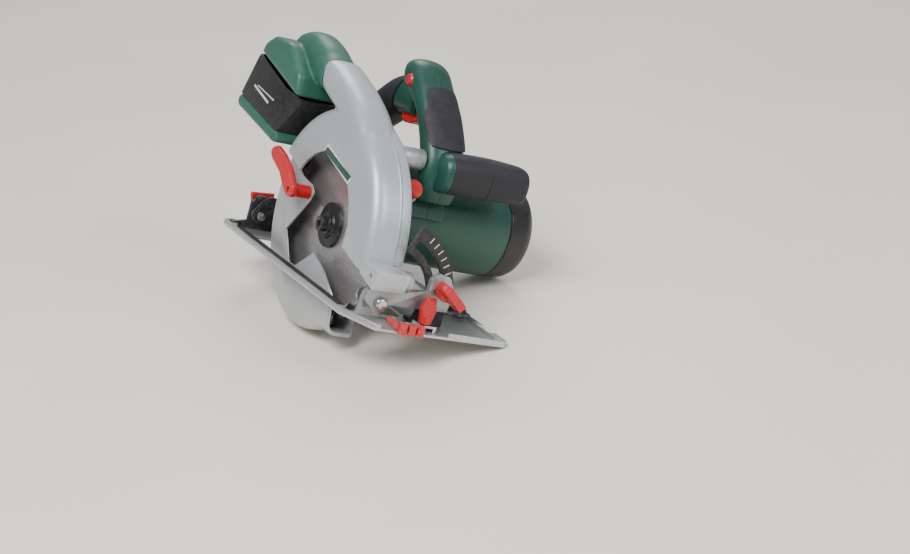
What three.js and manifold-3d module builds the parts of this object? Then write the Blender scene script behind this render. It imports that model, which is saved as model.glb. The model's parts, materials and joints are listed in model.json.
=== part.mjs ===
// Handheld circular saw, 190 mm blade, lying rolled onto its motor side.
// Saw axes, in millimetres: origin on the arbor axis at the middle of the blade,
// +X along the cut, +Y from the blade to the motor, +Z square to the sole plate.
import * as THREE from 'three';
import { mergeVertices } from 'three/addons/utils/BufferGeometryUtils.js';
import Module from 'manifold-3d';

const wasm = await Module();
wasm.setup();

// ---- driving dimensions ----
const GAP = 0.3; // between pieces that touch or are cut to each other

const BLADE_R = 95;
const BLADE_HALF = 0.8;
const BLADE_TEETH = 24;
const FLANGE_R = 21.4;

const GUARD_R = 109;
const GUARD_NEAR = -20;
const GUARD_SEAM = 10;
const GUARD_FAR = 20;
const GUARD_WALL = 2.5;
const GUARD_FILLET = 12;
const WINDOW_R = 67; // rear arc of the opening in the near wall

const SWING_R = 99; // lower guard
const SWING_NEAR = -15.8;
const SWING_FAR = 12;
const SWING_WALL = 1.8;
const SWING_ROUND = 6;

const SOLE_Z = -52.8;
const SOLE_T = 2.5;
const SOLE_TOP = SOLE_Z + SOLE_T;
const SOLE_REAR = -166.3;
const SOLE_FRONT = 150.3;
const SOLE_NEAR = -33.4;
const SOLE_FAR = 125;
const SOLE_RIM = 6;

const MOTOR_X = -6.6;
const MOTOR_Z = 22.2;
const MOTOR_R = 48;
const CAP_R = 47;
const HOUSING_Y = 48.5;
const SEAM_Y = 168;
const CAP_END = 198.5;

const GEAR_MODULE = 1.25;
const PINION_TEETH = 7;
const WHEEL_TEETH = 30;

const DEPTH_X = 126; // height-adjusting hinge, axis along Y
const DEPTH_Z = -12;
const BAR_R = 227;
const CLAMP_Z = 30;

const TILT_Y = -4; // bevel hinge, axis along X
const TILT_Z = -34;
const WING_R = 62;
const WING_ANGLE = 18;

const HANDLE_Y = 68; // middle plane of the main handle
const AUX_X = 60;
const AUX_Z = 82;

// ---- finishes ----
const finish = (color, roughness, metalness) =>
  new THREE.MeshStandardMaterial({ color, roughness, metalness });
const paint = finish(0xa9b0b4, 0.42, 0.35);
const aluminium = finish(0xb4b9bb, 0.4, 0.7);
const castGrey = finish(0x8a9093, 0.5, 0.6);
const steel = finish(0xb9bcbf, 0.3, 0.95);
const darkSteel = finish(0x2b2d30, 0.45, 0.8);
const green = finish(0x1f5a49, 0.4, 0);
const paleGreen = finish(0x4b8672, 0.4, 0);
const black = finish(0x1b1c1e, 0.5, 0);
const rubber = finish(0x35363b, 0.8, 0);
const red = finish(0xc4262e, 0.4, 0);
const clear = finish(0xd9dde0, 0.15, 0);
const copper = finish(0xa5623a, 0.4, 0.9);
const brass = finish(0xb08a4a, 0.4, 0.9);
const carbon = finish(0x26262a, 0.8, 0.1);
const iron = finish(0x6f7073, 0.5, 0.8);

// ---- solids ----
function toSolid(geometry) {
  const bare = geometry.clone();
  bare.deleteAttribute('normal');
  bare.deleteAttribute('uv');
  const merged = mergeVertices(bare, 1e-4);
  const place = merged.attributes.position.array;
  const corner = (i) => new THREE.Vector3().fromArray(place, 3 * i);
  const kept = [];
  let volume = 0;
  for (let i = 0; i < merged.index.count; i += 3) {
    const [a, b, c] = merged.index.array.slice(i, i + 3);
    if (a === b || b === c || c === a) continue;
    kept.push(a, b, c);
    volume += corner(a).dot(corner(b).cross(corner(c)));
  }
  if (volume < 0) kept.reverse();
  const mesh = new wasm.Mesh({
    numProp: 3,
    vertProperties: new Float32Array(place),
    triVerts: new Uint32Array(kept),
  });
  return new wasm.Manifold(mesh);
}

function fromSolid(solid) {
  const mesh = solid.getMesh();
  const geometry = new THREE.BufferGeometry();
  geometry.setAttribute('position', new THREE.BufferAttribute(mesh.vertProperties, 3));
  geometry.setIndex(new THREE.BufferAttribute(mesh.triVerts, 1));
  return geometry;
}

const combine = (how) => (first, ...others) => {
  let solid = toSolid(first);
  for (const other of others) solid = solid[how](toSolid(other));
  return fromSolid(solid);
};
const join = combine('add');
const cut = combine('subtract');
const common = combine('intersect');

// ---- shapes and placed geometries ----
const degrees = THREE.MathUtils.degToRad;
const polar = (r, angle, u = 0, v = 0) => [
  u + r * Math.cos(degrees(angle)),
  v + r * Math.sin(degrees(angle)),
];

function outline(points, ...holes) {
  const shape = new THREE.Shape(points.map(([u, v]) => new THREE.Vector2(u, v)));
  shape.holes = holes;
  return shape;
}

function arcPoints(r, from, to, steps, u = 0, v = 0) {
  const points = [];
  for (let i = 0; i <= steps; i += 1) points.push(polar(r, from + ((to - from) * i) / steps, u, v));
  return points;
}

const discPath = (r, steps, u = 0, v = 0) => outline(arcPoints(r, 0, 360 - 360 / steps, steps - 1, u, v));
const box = (x0, x1, y0, y1, z0, z1) =>
  new THREE.BoxGeometry(x1 - x0, y1 - y0, z1 - z0).translate((x0 + x1) / 2, (y0 + y1) / 2, (z0 + z1) / 2);

function extrude(shape, length, bevel) {
  return new THREE.ExtrudeGeometry(shape, {
    depth: length - 2 * bevel,
    bevelEnabled: bevel > 0,
    bevelThickness: bevel,
    bevelSize: bevel,
    bevelOffset: -bevel,
    bevelSegments: bevel > 4 ? 4 : 1,
    curveSegments: 10,
  }).translate(0, 0, bevel);
}

// outline in (x, z), thick along Y
const slabY = (shape, y0, y1, bevel = 0) =>
  extrude(shape, y1 - y0, bevel).rotateX(Math.PI / 2).translate(0, y1, 0);
// outline in (y, z), thick along X
const slabX = (shape, x0, x1, bevel = 0) =>
  extrude(shape, x1 - x0, bevel).rotateX(Math.PI / 2).rotateZ(Math.PI / 2).translate(x0, 0, 0);
// outline in (x, y), thick along Z
const slabZ = (shape, z0, z1, bevel = 0) => extrude(shape, z1 - z0, bevel).translate(0, 0, z0);

// turned about Y at (x, z): a closed or axis-to-axis profile of [radius, y]
function turnedY(profile, x, z, sides = 24) {
  const points = profile.map(([r, y]) => new THREE.Vector2(r, y));
  return new THREE.LatheGeometry(points, sides).translate(x, 0, z);
}
const rodY = (r, y0, y1, x, z, sides = 16) => turnedY([[0, y0], [r, y0], [r, y1], [0, y1]], x, z, sides);
const tubeY = (r, hole, y0, y1, x, z, sides = 24) =>
  turnedY([[hole, y0], [r, y0], [r, y1], [hole, y1], [hole, y0]], x, z, sides);

// turned about X at (y, z) and about Z at (x, y): profiles of [radius, distance]
const turnedX = (profile, y, z, sides = 16) =>
  turnedY(profile, 0, 0, sides).rotateZ(-Math.PI / 2).translate(0, y, z);
const turnedZ = (profile, x, y, sides = 16) =>
  turnedY(profile, 0, 0, sides).rotateX(Math.PI / 2).translate(x, y, 0);

// a closed skin through rings of points, all with the same number of points
function loft(rings) {
  const sides = rings[0].length;
  const points = rings.flat();
  const middle = (ring) => ring.reduce((sum, p) => sum.add(p), new THREE.Vector3()).divideScalar(sides);
  const first = points.push(middle(rings[0])) - 1;
  const last = points.push(middle(rings.at(-1))) - 1;
  const faces = [];
  for (let i = 0; i < sides; i += 1) {
    const j = (i + 1) % sides;
    for (let k = 0; k < rings.length - 1; k += 1) {
      const low = k * sides;
      const high = low + sides;
      faces.push(low + i, low + j, high + j, low + i, high + j, high + i);
    }
    const end = (rings.length - 1) * sides;
    faces.push(first, j, i, last, end + i, end + j);
  }
  const geometry = new THREE.BufferGeometry().setFromPoints(points);
  geometry.setIndex(faces);
  return geometry;
}

// one rounded ring: half sizes a along side, b along up; a higher power is squarer
function ring(centre, side, up, a, b, power = 2.6, sides = 16) {
  const points = [];
  for (let i = 0; i < sides; i += 1) {
    const turn = (2 * Math.PI * (i + 0.5)) / sides;
    const across = Math.sign(Math.cos(turn)) * Math.abs(Math.cos(turn)) ** (2 / power);
    const along = Math.sign(Math.sin(turn)) * Math.abs(Math.sin(turn)) ** (2 / power);
    points.push(centre.clone().addScaledVector(side, a * across).addScaledVector(up, b * along));
  }
  return points;
}

// a rounded bar whose middle line lies in one plane y: stations of [x, z, half height, half width]
function barXZ(stations, y, grow = 0, power = 2.6, sides = 16) {
  const side = new THREE.Vector3(0, 1, 0);
  const rings = stations.map(([x, z, half, width], i) => {
    const before = stations[Math.max(i - 1, 0)];
    const after = stations[Math.min(i + 1, stations.length - 1)];
    const run = new THREE.Vector3(after[0] - before[0], 0, after[1] - before[1]).normalize();
    const up = new THREE.Vector3().crossVectors(run, side);
    return ring(new THREE.Vector3(x, y, z), side, up, width + grow, half + grow, power, sides);
  });
  return loft(rings);
}

// a rounded bar along Y: stations of [y, x, z, half along X, half along Z]
function barY(stations, grow = 0, power = 2.6, sides = 20) {
  const side = new THREE.Vector3(1, 0, 0);
  const up = new THREE.Vector3(0, 0, 1);
  return loft(stations.map(([y, x, z, a, b]) =>
    ring(new THREE.Vector3(x, y, z), side, up, a + grow, b + grow, power, sides)));
}

// ---- the assembly: named meshes in the saw's own axes ----
const saw = new THREE.Group();
function add(name, geometry, material) {
  const mesh = new THREE.Mesh(fromSolid(toSolid(geometry)), material);
  mesh.name = name;
  saw.add(mesh);
}

// ---- upper guard ----
const FAR_AWAY = 260;
const DUCT = [[-62, 129, 16, 20], [-57, 129, 16, 20], [-38, 123, 16.5, 20], [-12, 114.5, 16, 20], [15, 101,
  16.5, 20],
  [40, 82, 16, 20]];
const DUCT_POWER = 3.2;

const drum = (r) => discPath(r, 56);
const ductBar = (grow) => barXZ(DUCT, 0, grow, DUCT_POWER, 20);
const ductPassage = () => barXZ([[-72, 129, 16, 20], ...DUCT], 0, -GUARD_WALL - 0.5, DUCT_POWER, 20);

// everything below this line is open: the lower edge of the near wall and the sight opening
function openBelow() {
  const arc = arcPoints(WINDOW_R, 147, 105, 6);
  const front = [[43, 48], [54, 35], [63, 16], [63, -4], [142, -22.7], [142, -FAR_AWAY]];
  return outline([[-130, -FAR_AWAY], [-130, 56.5], ...arc, ...front]);
}

function upperGuard() {
  const round = slabY(drum(GUARD_R), GUARD_NEAR, GUARD_SEAM + 2 * GUARD_FILLET, GUARD_FILLET);
  const beyondSeam = box(-FAR_AWAY, FAR_AWAY, GUARD_SEAM - GAP, FAR_AWAY, -FAR_AWAY, FAR_AWAY);
  const nearHalf = cut(join(round, ductBar(0)), beyondSeam);
  const hollow = slabY(drum(GUARD_R - GUARD_WALL), GUARD_NEAR + GUARD_WALL, FAR_AWAY, GUARD_FILLET - 2);
  const open = slabY(openBelow(), -FAR_AWAY, FAR_AWAY);
  const nose = slabY(outline([[105, -15], [134, -22.5], [138, -3.5], [105, -3.5]]), GUARD_NEAR,
    GUARD_SEAM - GAP);
  const lip = slabY(outline([[110, -16.3], [134, -22.5], [138, -3.5], [110, -3.5]]), GUARD_SEAM - 1, 13);
  const pinHole = rodY(3.3, -FAR_AWAY, FAR_AWAY, DEPTH_X, DEPTH_Z);
  return cut(join(cut(nearHalf, hollow, ductPassage(), open), nose, lip), pinHole);
}

function guardBack() {
  const rimTop = arcPoints(GUARD_R, 172, 0, 32);
  const shape = outline([...rimTop, [GUARD_R, -3], [40, -3], ...arcPoints(30, 0, -180, 8), [-40, 12]]);
  const beforeSeam = box(-FAR_AWAY, FAR_AWAY, -FAR_AWAY, GUARD_SEAM, -FAR_AWAY, FAR_AWAY);
  const wall = cut(join(slabY(shape, GUARD_SEAM, GUARD_FAR), ductBar(0)), beforeSeam);
  const hollow = slabY(drum(GUARD_R - GUARD_WALL), -FAR_AWAY, GUARD_FAR - GUARD_WALL);
  const beforeWall = box(-FAR_AWAY, FAR_AWAY, -FAR_AWAY, GUARD_FAR - GUARD_WALL, -FAR_AWAY, FAR_AWAY);
  const passage = common(ductPassage(), beforeWall);
  return cut(wall, hollow, passage, rodY(NOSE_R + GAP, -FAR_AWAY, FAR_AWAY, 0, 0, 24));
}

// ---- gear housing behind the guard ----
const NOSE_R = 20;
const CASE_Y = GUARD_FAR + GAP;
const CASE_END = HOUSING_Y - GAP;
const LOCK_ANGLE = 42;
const LOCK_Y = 33;

function caseOutline(grow) {
  return outline([...arcPoints(29 + grow, 190, 340, 10), ...arcPoints(MOTOR_R + grow, 0, 160, 14, MOTOR_X,
    MOTOR_Z)]);
}

function alongLock(geometry) {
  return geometry.rotateZ(-Math.PI / 2).rotateY(degrees(-LOCK_ANGLE)).translate(0, LOCK_Y, 0);
}

function gearCase() {
  const body = slabY(caseOutline(0), CASE_Y, CASE_END);
  const inside = slabY(caseOutline(-3.5), CASE_Y + 4, FAR_AWAY);
  const nose = tubeY(NOSE_R, 17.9, SWING_FAR - SWING_WALL - 0.4, CASE_Y + 2, 0, 0);
  const bearingSeat = tubeY(NOSE_R + 2, 17.9, CASE_Y + 1, CASE_Y + 8, 0, 0);
  const sleeve = alongLock(turnedY([[0, 48], [9, 48], [9, 82], [0, 82]], 0, 0, 16));
  const sleeveBore = alongLock(turnedY([[0, 30], [4.6, 30], [4.6, 90], [0, 90]], 0, 0, 12));
  const shell = join(cut(body, inside), nose, bearingSeat, sleeve);
  return cut(shell, rodY(17.9, -5, CASE_Y + 10, 0, 0, 24), sleeveBore);
}

// ---- blade, spindle and gears ----
const gearTooth = (teeth) => (Math.PI * GEAR_MODULE * 0.42) / (GEAR_MODULE * teeth / 2);
function gearOutline(teeth, phase, tip, root, bore) {
  const half = THREE.MathUtils.radToDeg(gearTooth(teeth)) / 2;
  const points = [];
  for (let i = 0; i < teeth; i += 1) {
    const middle = phase + (360 * i) / teeth;
    points.push(polar(root, middle - half * 1.25), polar(tip, middle - half * 0.5));
    points.push(polar(tip, middle + half * 0.5), polar(root, middle + half * 1.25));
  }
  return outline(points, discPath(bore, 14));
}

const PITCH_WHEEL = (GEAR_MODULE * WHEEL_TEETH) / 2;
const PITCH_PINION = (GEAR_MODULE * PINION_TEETH) / 2;
const MESH_ANGLE = THREE.MathUtils.radToDeg(Math.atan2(MOTOR_Z, MOTOR_X));

function bladeOutline() {
  const points = [];
  const pitch = 360 / BLADE_TEETH;
  for (let i = 0; i < BLADE_TEETH; i += 1) {
    const start = -pitch * i;
    points.push(polar(BLADE_R, start), polar(BLADE_R - 1.5, start - 0.3 * pitch));
    points.push(polar(BLADE_R - 9, start - 0.55 * pitch), polar(BLADE_R - 8, start - 0.9 * pitch));
  }
  return outline(points, discPath(15, 20));
}

add('upper_guard', upperGuard(), paint);
add('upper_guard_back', guardBack(), paint);
add('gear_case', gearCase(), castGrey);
add('saw_blade', slabY(bladeOutline(), -BLADE_HALF, BLADE_HALF), steel);
add('outer_flange', turnedY([[4.4, -7], [12, -7], [13, -5], [FLANGE_R, -4.5], [FLANGE_R, -1.2], [4.4, -1.2],
  [4.4, -7]], 0, 0), darkSteel);
add('blade_bolt', cut(turnedY([[0, -15], [7.2, -15], [7.2, -8.6], [10.5, -8.6], [10.5, -7.3], [4, -7.3], [4,
  12],
  [0, 12]], 0, 0, 18), turnedY([[0, -16], [3.4, -16], [3.4, -10], [0, -10]], 0, 0, 6)), darkSteel);
add('spindle', turnedY([[4.4, -0.6], [14.7, -0.6], [14.7, 1.2], [FLANGE_R, 1.2], [FLANGE_R, 4.5], [10, 6.5],
  [7.2, 6.5], [7.2, 46], [0, 46], [0, 12.6], [4.4, 12.6], [4.4, -0.6]], 0, 0), steel);
add('driven_gear', slabY(gearOutline(WHEEL_TEETH, MESH_ANGLE, PITCH_WHEEL + 0.9, PITCH_WHEEL - 1.35, 7.5),
  34, 41),
  steel);
add('spindle_bearing', tubeY(17.6, 7.5, 17, 26, 0, 0), steel);

// ---- motor ----
function armatureShaft() {
  const shaft = turnedY([[0, 32], [3, 32], [3, 48], [5, 48], [5, 186], [0, 186]], 0, 0, 14);
  const phase = MESH_ANGLE + 180 + 180 / PINION_TEETH;
  const teeth = slabY(gearOutline(PINION_TEETH, phase, PITCH_PINION + 0.9, PITCH_PINION - 1.3, 2), 33.5,
    41.5);
  return join(shaft, teeth).translate(MOTOR_X, 0, MOTOR_Z);
}

function fanWheel() {
  const blades = [];
  for (let i = 0; i < 9; i += 1) {
    blades.push(box(12, 37, 60, 71, -0.9, 0.9).rotateY(degrees(40 * i)));
  }
  const hub = tubeY(13, 5.3, 60, 71, 0, 0, 18);
  const disc = tubeY(38, 12, 69, 71, 0, 0, 27);
  return join(hub, disc, ...blades).translate(MOTOR_X, 0, MOTOR_Z);
}

function stator() {
  const ringShape = tubeY(40, 19.5, 92, 138, MOTOR_X, MOTOR_Z, 28);
  const flat = (z0, z1) => box(-FAR_AWAY, FAR_AWAY, 90, 140, z0, z1);
  return cut(ringShape, flat(MOTOR_Z + 36, FAR_AWAY), flat(-FAR_AWAY, MOTOR_Z - 36));
}

add('armature_shaft', armatureShaft(), steel);
add('armature_core', tubeY(18.6, 5.3, 92, 138, MOTOR_X, MOTOR_Z, 24), iron);
add('commutator', tubeY(11, 5.3, 148, 164, MOTOR_X, MOTOR_Z, 24), copper);
add('cooling_fan', fanWheel(), black);
add('stator', stator(), iron);
add('motor_bearing_front', tubeY(13, 5.3, 50, 58, MOTOR_X, MOTOR_Z), steel);
add('motor_bearing_rear', tubeY(11, 5.3, 177, 185, MOTOR_X, MOTOR_Z), steel);
for (const [name, turn] of [['upper', 45], ['lower', 225]]) {
  const place = (part) => part.rotateY(degrees(-turn)).translate(MOTOR_X, 156, MOTOR_Z);
  add(`carbon_brush_${name}`, place(box(11.5, 25, -3.5, 3.5, -3, 3)), carbon);
  const sleeve = cut(box(14, 33, -5.5, 5.5, -5, 5), box(13, 27, -3.8, 3.8, -3.3, 3.3));
  add(`brush_holder_${name}`, place(sleeve), brass);
}

function motorShellOutline(r) {
  const flatTop = [polar(r, 78, MOTOR_X, MOTOR_Z), polar(r, 32, MOTOR_X, MOTOR_Z)];
  const rest = arcPoints(r, 26, -274, 34, MOTOR_X, MOTOR_Z);
  return outline([...flatTop, ...rest]);
}

function motorHousing() {
  const shell = cut(slabY(motorShellOutline(MOTOR_R), HOUSING_Y, SEAM_Y),
    slabY(motorShellOutline(MOTOR_R - 3), HOUSING_Y + 11, SEAM_Y + 1));
  const bearingBore = rodY(13.3, HOUSING_Y - 1, HOUSING_Y + 12, MOTOR_X, MOTOR_Z, 24);
  return cut(shell, bearingBore);
}

function endCap() {
  const profile = [[CAP_R - 3, SEAM_Y + GAP], [CAP_R + 1, SEAM_Y + GAP], [CAP_R, 188], [CAP_R - 2.5, 194.5],
    [CAP_R - 9, CAP_END], [0, CAP_END], [0, 194.5], [11.3, 194.5], [11.3, 176], [15, 176], [15, 193],
    [CAP_R - 11, 193], [CAP_R - 4.5, 187], [CAP_R - 3, SEAM_Y + GAP]];
  const slots = [];
  for (let i = -3; i <= 3; i += 1) slots.push(box(-26 + 3 * Math.abs(i), 26 - 3 * Math.abs(i), 190, FAR_AWAY,
    9 * i - 1.8, 9 * i + 1.8));
  const bearingSeat = rodY(15.5, 170, 194, 0, 0);
  const slotBlock = cut(slots.reduce((all, slot) => join(all, slot)), bearingSeat);
  return cut(turnedY(profile, 0, 0, 32), slotBlock).translate(MOTOR_X, 0, MOTOR_Z);
}
add('motor_housing', motorHousing(), green);
add('motor_end_cap', endCap(), black);

// ---- handles ----
const LEG = [[-37, 152, 12, 18], [-32, 152.5, 15, 20], [-20, 151, 16, 21], [-8, 143, 15, 21], [8, 131, 13,
  21],
  [22, 117, 13, 21], [36, 100, 14, 21], [45, 84, 15, 21], [47, 66, 14, 21], [44, 50, 12, 20]];
const GRIP = [[-8, 131, 17, 19], [-30, 132, 18.5, 19.5], [-46, 129.5, 17.5, 19.5], [-62, 121, 17, 19], [-90,
  102, 16, 18],
  [-118, 84, 16, 18], [-138, 70, 17, 19], [-146, 60, 15, 18], [-150, 52, 10, 16]];
const TAIL = [[-150, 58, 9, 16], [-142, 49, 11, 17], [-120, 43, 11, 17], [-90, 41, 12, 17], [-60, 42, 14, 18],
  [-34, 46, 14, 18]];
const AUX = [[57, 58, 78, 12, 14], [60, 59, 78, 17, 17.5], [70, 60, 79.5, 18.5, 19],
  [106, 60, 80.5, 18.5, 19.5], [132, 60, 80.5, 18.5, 18.5], [146, 60, 80, 17.5, 17.5], [151, 60, 79.5, 13,
    13]];
const STRUT = [44, 84];
const STRUT_END = 46.5;
const AUX_CAP = 65;
const AUX_SEAM = 106;
const HANDLE_SPLIT = 0.15;
const GRIP_EDGE = [[-28, 162], [-39, 134], [-52, 96]]; // front edge of the rear soft grip
const GRIP_REAR = -134;
const SKIN = 2.2; // thickness of the soft grip

function frontLegSoft() {
  const skin = barXZ(LEG.slice(3, 9), HANDLE_Y, 1.8);
  const ahead = slabY(outline([[10, 146], [23, 131], [28, 119], [43, 104], [50, 100], [120, 100], [120,
    180], [10, 180]]), -FAR_AWAY, FAR_AWAY);
  return cut(common(skin, ahead), barXZ(LEG, HANDLE_Y, GAP), barY(AUX, GAP), tubeBossBore());
}

function handleCore() {
  const saddle = slabY(motorShellOutline(MOTOR_R + 5), HANDLE_Y - 19, HANDLE_Y + 19);
  const saddleTop = common(saddle, box(-62, 46, 0, 200, 30, 200));
  const ahead = outline([...GRIP_EDGE, [FAR_AWAY, 0], [FAR_AWAY, 200]]);
  const fullFront = common(barXZ(GRIP, HANDLE_Y), slabY(ahead, 0, 200).translate(GAP, 0, 0));
  const fullRear = common(barXZ(GRIP, HANDLE_Y), box(-FAR_AWAY, GRIP_REAR - GAP, 0, 200, 0, 200));
  return join(barXZ(LEG, HANDLE_Y), barXZ(GRIP, HANDLE_Y, -SKIN), fullFront, fullRear, barXZ(TAIL,
    HANDLE_Y), saddleTop);
}

function handleHollows() {
  const switchBay = box(-44, -6, HANDLE_Y - 11, HANDLE_Y + 11, 118, 141);
  const triggerSlot = box(-42, -4, HANDLE_Y - 8.3, HANDLE_Y + 8.3, 90, 124);
  const lockBore = rodY(6.8, 0, 200, -18, 147);
  const motorBarrel = slabY(motorShellOutline(MOTOR_R + GAP), 0, SEAM_Y);
  const cordBore = turnedX([[0, -170], [5.5, -170], [5.5, -128], [0, -128]], HANDLE_Y, 50);
  return [switchBay, triggerSlot, lockBore, motorBarrel, cordBore, barY(AUX, GAP),
    tubeBossBore()];
}

const tubeBossBore = () => rodY(10.4, 20, STRUT_END + GAP, ...STRUT, 20);

function handleHalf(near) {
  const side = near ? box(-FAR_AWAY, FAR_AWAY, HANDLE_Y - HANDLE_SPLIT, FAR_AWAY, -FAR_AWAY, FAR_AWAY)
    : box(-FAR_AWAY, FAR_AWAY, -FAR_AWAY, HANDLE_Y + HANDLE_SPLIT, -FAR_AWAY, FAR_AWAY);
  return cut(handleCore(), ...handleHollows(), side);
}

function rearSoft() {
  const length = slabY(outline([...GRIP_EDGE, [-60, 0], [GRIP_REAR, 0], [GRIP_REAR, 200], [-28, 200]]), 0,
    200);
  const sleeve = common(barXZ(GRIP, HANDLE_Y, 0.6), length);
  return cut(sleeve, barXZ(GRIP, HANDLE_Y, GAP - SKIN), barXZ(TAIL, HANDLE_Y, GAP), barXZ(LEG, HANDLE_Y,
    GAP));
}

function auxPart(part) {
  const body = barY(AUX);
  const beyond = (y) => box(-FAR_AWAY, FAR_AWAY, y, FAR_AWAY, -FAR_AWAY, FAR_AWAY);
  const before = (y) => box(-FAR_AWAY, FAR_AWAY, -FAR_AWAY, y, -FAR_AWAY, FAR_AWAY);
  const bore = rodY(5, AUX_CAP + 8, AUX_SEAM + 20, AUX_X, AUX_Z - 2, 12);
  const removed = {
    cap: [beyond(AUX_CAP)],
    root: [before(AUX_CAP + GAP), beyond(AUX_SEAM), bore],
    end: [before(AUX_SEAM + GAP), bore],
  };
  return cut(body, ...removed[part]);
}

add('handle_near', handleHalf(true), green);
add('handle_far', handleHalf(false), green);
add('rear_soft_grip', rearSoft(), rubber);
add('front_soft_grip', frontLegSoft(), rubber);
add('second_handle_cap', auxPart('cap'), green);
add('second_handle_root', auxPart('root'), rubber);
add('second_handle_end', auxPart('end'), rubber);
add('second_handle_stud', rodY(4.7, AUX_CAP + 10, AUX_SEAM + 18, AUX_X, AUX_Z - 2, 12), steel);
add('strut_tube', tubeY(10, 7.5, GUARD_FAR + GAP, STRUT_END, ...STRUT, 20), steel);
const triggerShape = outline([[-37, 115.5], [-39, 110], [-32, 104.5], [-20, 106], [-10, 110.5], [-8, 122]]);
add('trigger', slabY(triggerShape, HANDLE_Y - 7.5, HANDLE_Y + 7.5, 1.5), red);
add('switch_module', box(-42, -8, HANDLE_Y - 10, HANDLE_Y + 10, 124.5, 139), black);
add('lock_off_button', turnedY([[0, 45.5], [4.5, 45.5], [6.4, 47.5], [6.4, 88.5], [4.5, 90.5], [0, 90.5]],
  -18, 147),
  red);
add('cord_bush', turnedX([[4, -156], [5.1, -156], [5.1, -138], [4, -138], [4, -156]], HANDLE_Y, 50,
  14), rubber);

// ---- spindle lock ----
const lockProfile = [[0, 28], [4.2, 28], [4.2, 88], [9, 88], [9, 92], [7, 95], [0, 95]];
add('spindle_lock', alongLock(turnedY(lockProfile, 0, 0, 18)), red);

// ---- dust box ----
const LID = [[-181, 123], [-174, 135.5], [-158, 144.5], [-122, 145], [-84, 121], [-80, 99.5]];
const ELBOW = [[-62.6, 129, 16, 20], [-67, 129, 16.3, 20], [-80, 132.5, 18, 19], [-95, 137, 20, 18.5],
  [-118, 141, 20.5, 18], [-138, 138, 18, 17], [-150, 133, 12, 13]];
const BOX_NEAR = -33;
const BOX_FAR = 21;
const BOX_EDGE = [[-181, 121.5], [-202, 75], [-105, 59.5], [-85, 97], [-83.5, 98.5]];

function dustLid() {
  const hood = slabY(outline(LID), BOX_NEAR, BOX_FAR, 7);
  const inside = slabY(outline([[-177, 100], [-171, 136], [-157, 142], [-123, 141], [-88, 118], [-84, 90]]),
    BOX_NEAR + 4, BOX_FAR - 4);
  const passage = barXZ([[-50, 127, 14, 16.5], ...ELBOW.slice(2, 6)], 0, -3);
  return cut(join(hood, barXZ(ELBOW, 0)), inside, passage);
}

function dustBody() {
  const outer = outline(BOX_EDGE.slice(0, 4));
  const inner = outline([[-176, 130], [-197, 77.5], [-107, 63.2], [-85, 106]]);
  const corner = slabZ(outline([[-112, BOX_NEAR - 1], [-60, BOX_NEAR - 1], [-60, -8]]), 0, 200);
  const innerCorner = slabZ(outline([[-116, BOX_NEAR - 1], [-60, BOX_NEAR - 1], [-60, -4]]), 0, 200);
  const hollow = cut(slabY(inner, BOX_NEAR + 3, BOX_FAR - 3), innerCorner);
  return cut(slabY(outer, BOX_NEAR, BOX_FAR, 2.5), corner, hollow);
}
add('dust_lid', dustLid(), paleGreen);
add('dust_box', dustBody(), black);
const footShape = outline([[-202.3, 74.7], [-205, 67], [-200, 62.5], [-105, 48.5], [-101.5, 52], [-104.5,
  59.1]]);
add('dust_box_foot', cut(slabY(footShape, BOX_NEAR, BOX_FAR, 2),
  slabZ(outline([[-112, BOX_NEAR - 1], [-60, BOX_NEAR - 1], [-60, -8]]), 0, 200)), paleGreen);

// ---- lower guard ----
const LIP_TIP = [73, -85];
const nearWallEdge = [[61, -51], [33, -36], [7, -27], [-23, -50], [-38, -50], [-60, -24], [-28, 14], [-25,
  22],
  [-32, 28], [-56, 31]];

function swingOutline(inset) {
  const rim = arcPoints(SWING_R - inset, 152, 300, 30);
  return outline([...rim, [60 - inset, -84 + inset], [LIP_TIP[0], LIP_TIP[1] + inset], [64, -52],
    ...arcPoints(29 - inset, -40, 110, 8)]);
}

function lowerGuard() {
  const solid = slabY(swingOutline(0), SWING_NEAR, SWING_FAR, SWING_ROUND);
  const hollowRim = arcPoints(SWING_R - SWING_WALL, 135, 300, 32);
  const hollowShape = outline([...hollowRim, [61, -81.8], [90, -81.8], [90, 60], [-60, 100]]);
  const hollow = slabY(hollowShape, SWING_NEAR + SWING_WALL, SWING_FAR - SWING_WALL, SWING_ROUND - 1);
  const nearOpen = outline([...nearWallEdge, [-90, 60], [140, 60], [140, -51]]);
  const nearCut = slabY(nearOpen, -FAR_AWAY, SWING_NEAR + SWING_WALL + 0.1);
  const bore = rodY(NOSE_R + 0.5, -FAR_AWAY, FAR_AWAY, 0, 0, 24);
  return cut(solid, hollow, nearCut, bore);
}

const LEVER = [-33, 20];
function guardLever() {
  const boss = turnedY([[0, -34], [6.5, -34], [6.5, SWING_NEAR - GAP], [0, SWING_NEAR - GAP]], ...LEVER, 16);
  const arm = slabY(outline([[-31, 28], [-25, 25], [-24, 18], [-28, 13.5], [-36, 12.5], [-46, 18], [-60, 28],
    [-83, 36], [-89, 41], [-88, 47], [-81, 50.5], [-64, 47], [-47, 40]]), -39, -31, 2);
  const eye = rodY(3, -50, -33, ...LEVER, 12);
  return cut(join(arm, boss), eye);
}
add('lower_guard', lowerGuard(), aluminium);
add('guard_lever', guardLever(), red);
add('guard_spring', tubeY(NOSE_R + 6, NOSE_R + 3.6, SWING_FAR + 0.5, GUARD_FAR - GUARD_WALL - 0.5, 0, 0),
  steel);

// ---- height adjustment: front casting, rear link and bar ----
const wingPlace = polar(WING_R, WING_ANGLE, TILT_Y, TILT_Z);
const CAST_X = [121, 127];

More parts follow.
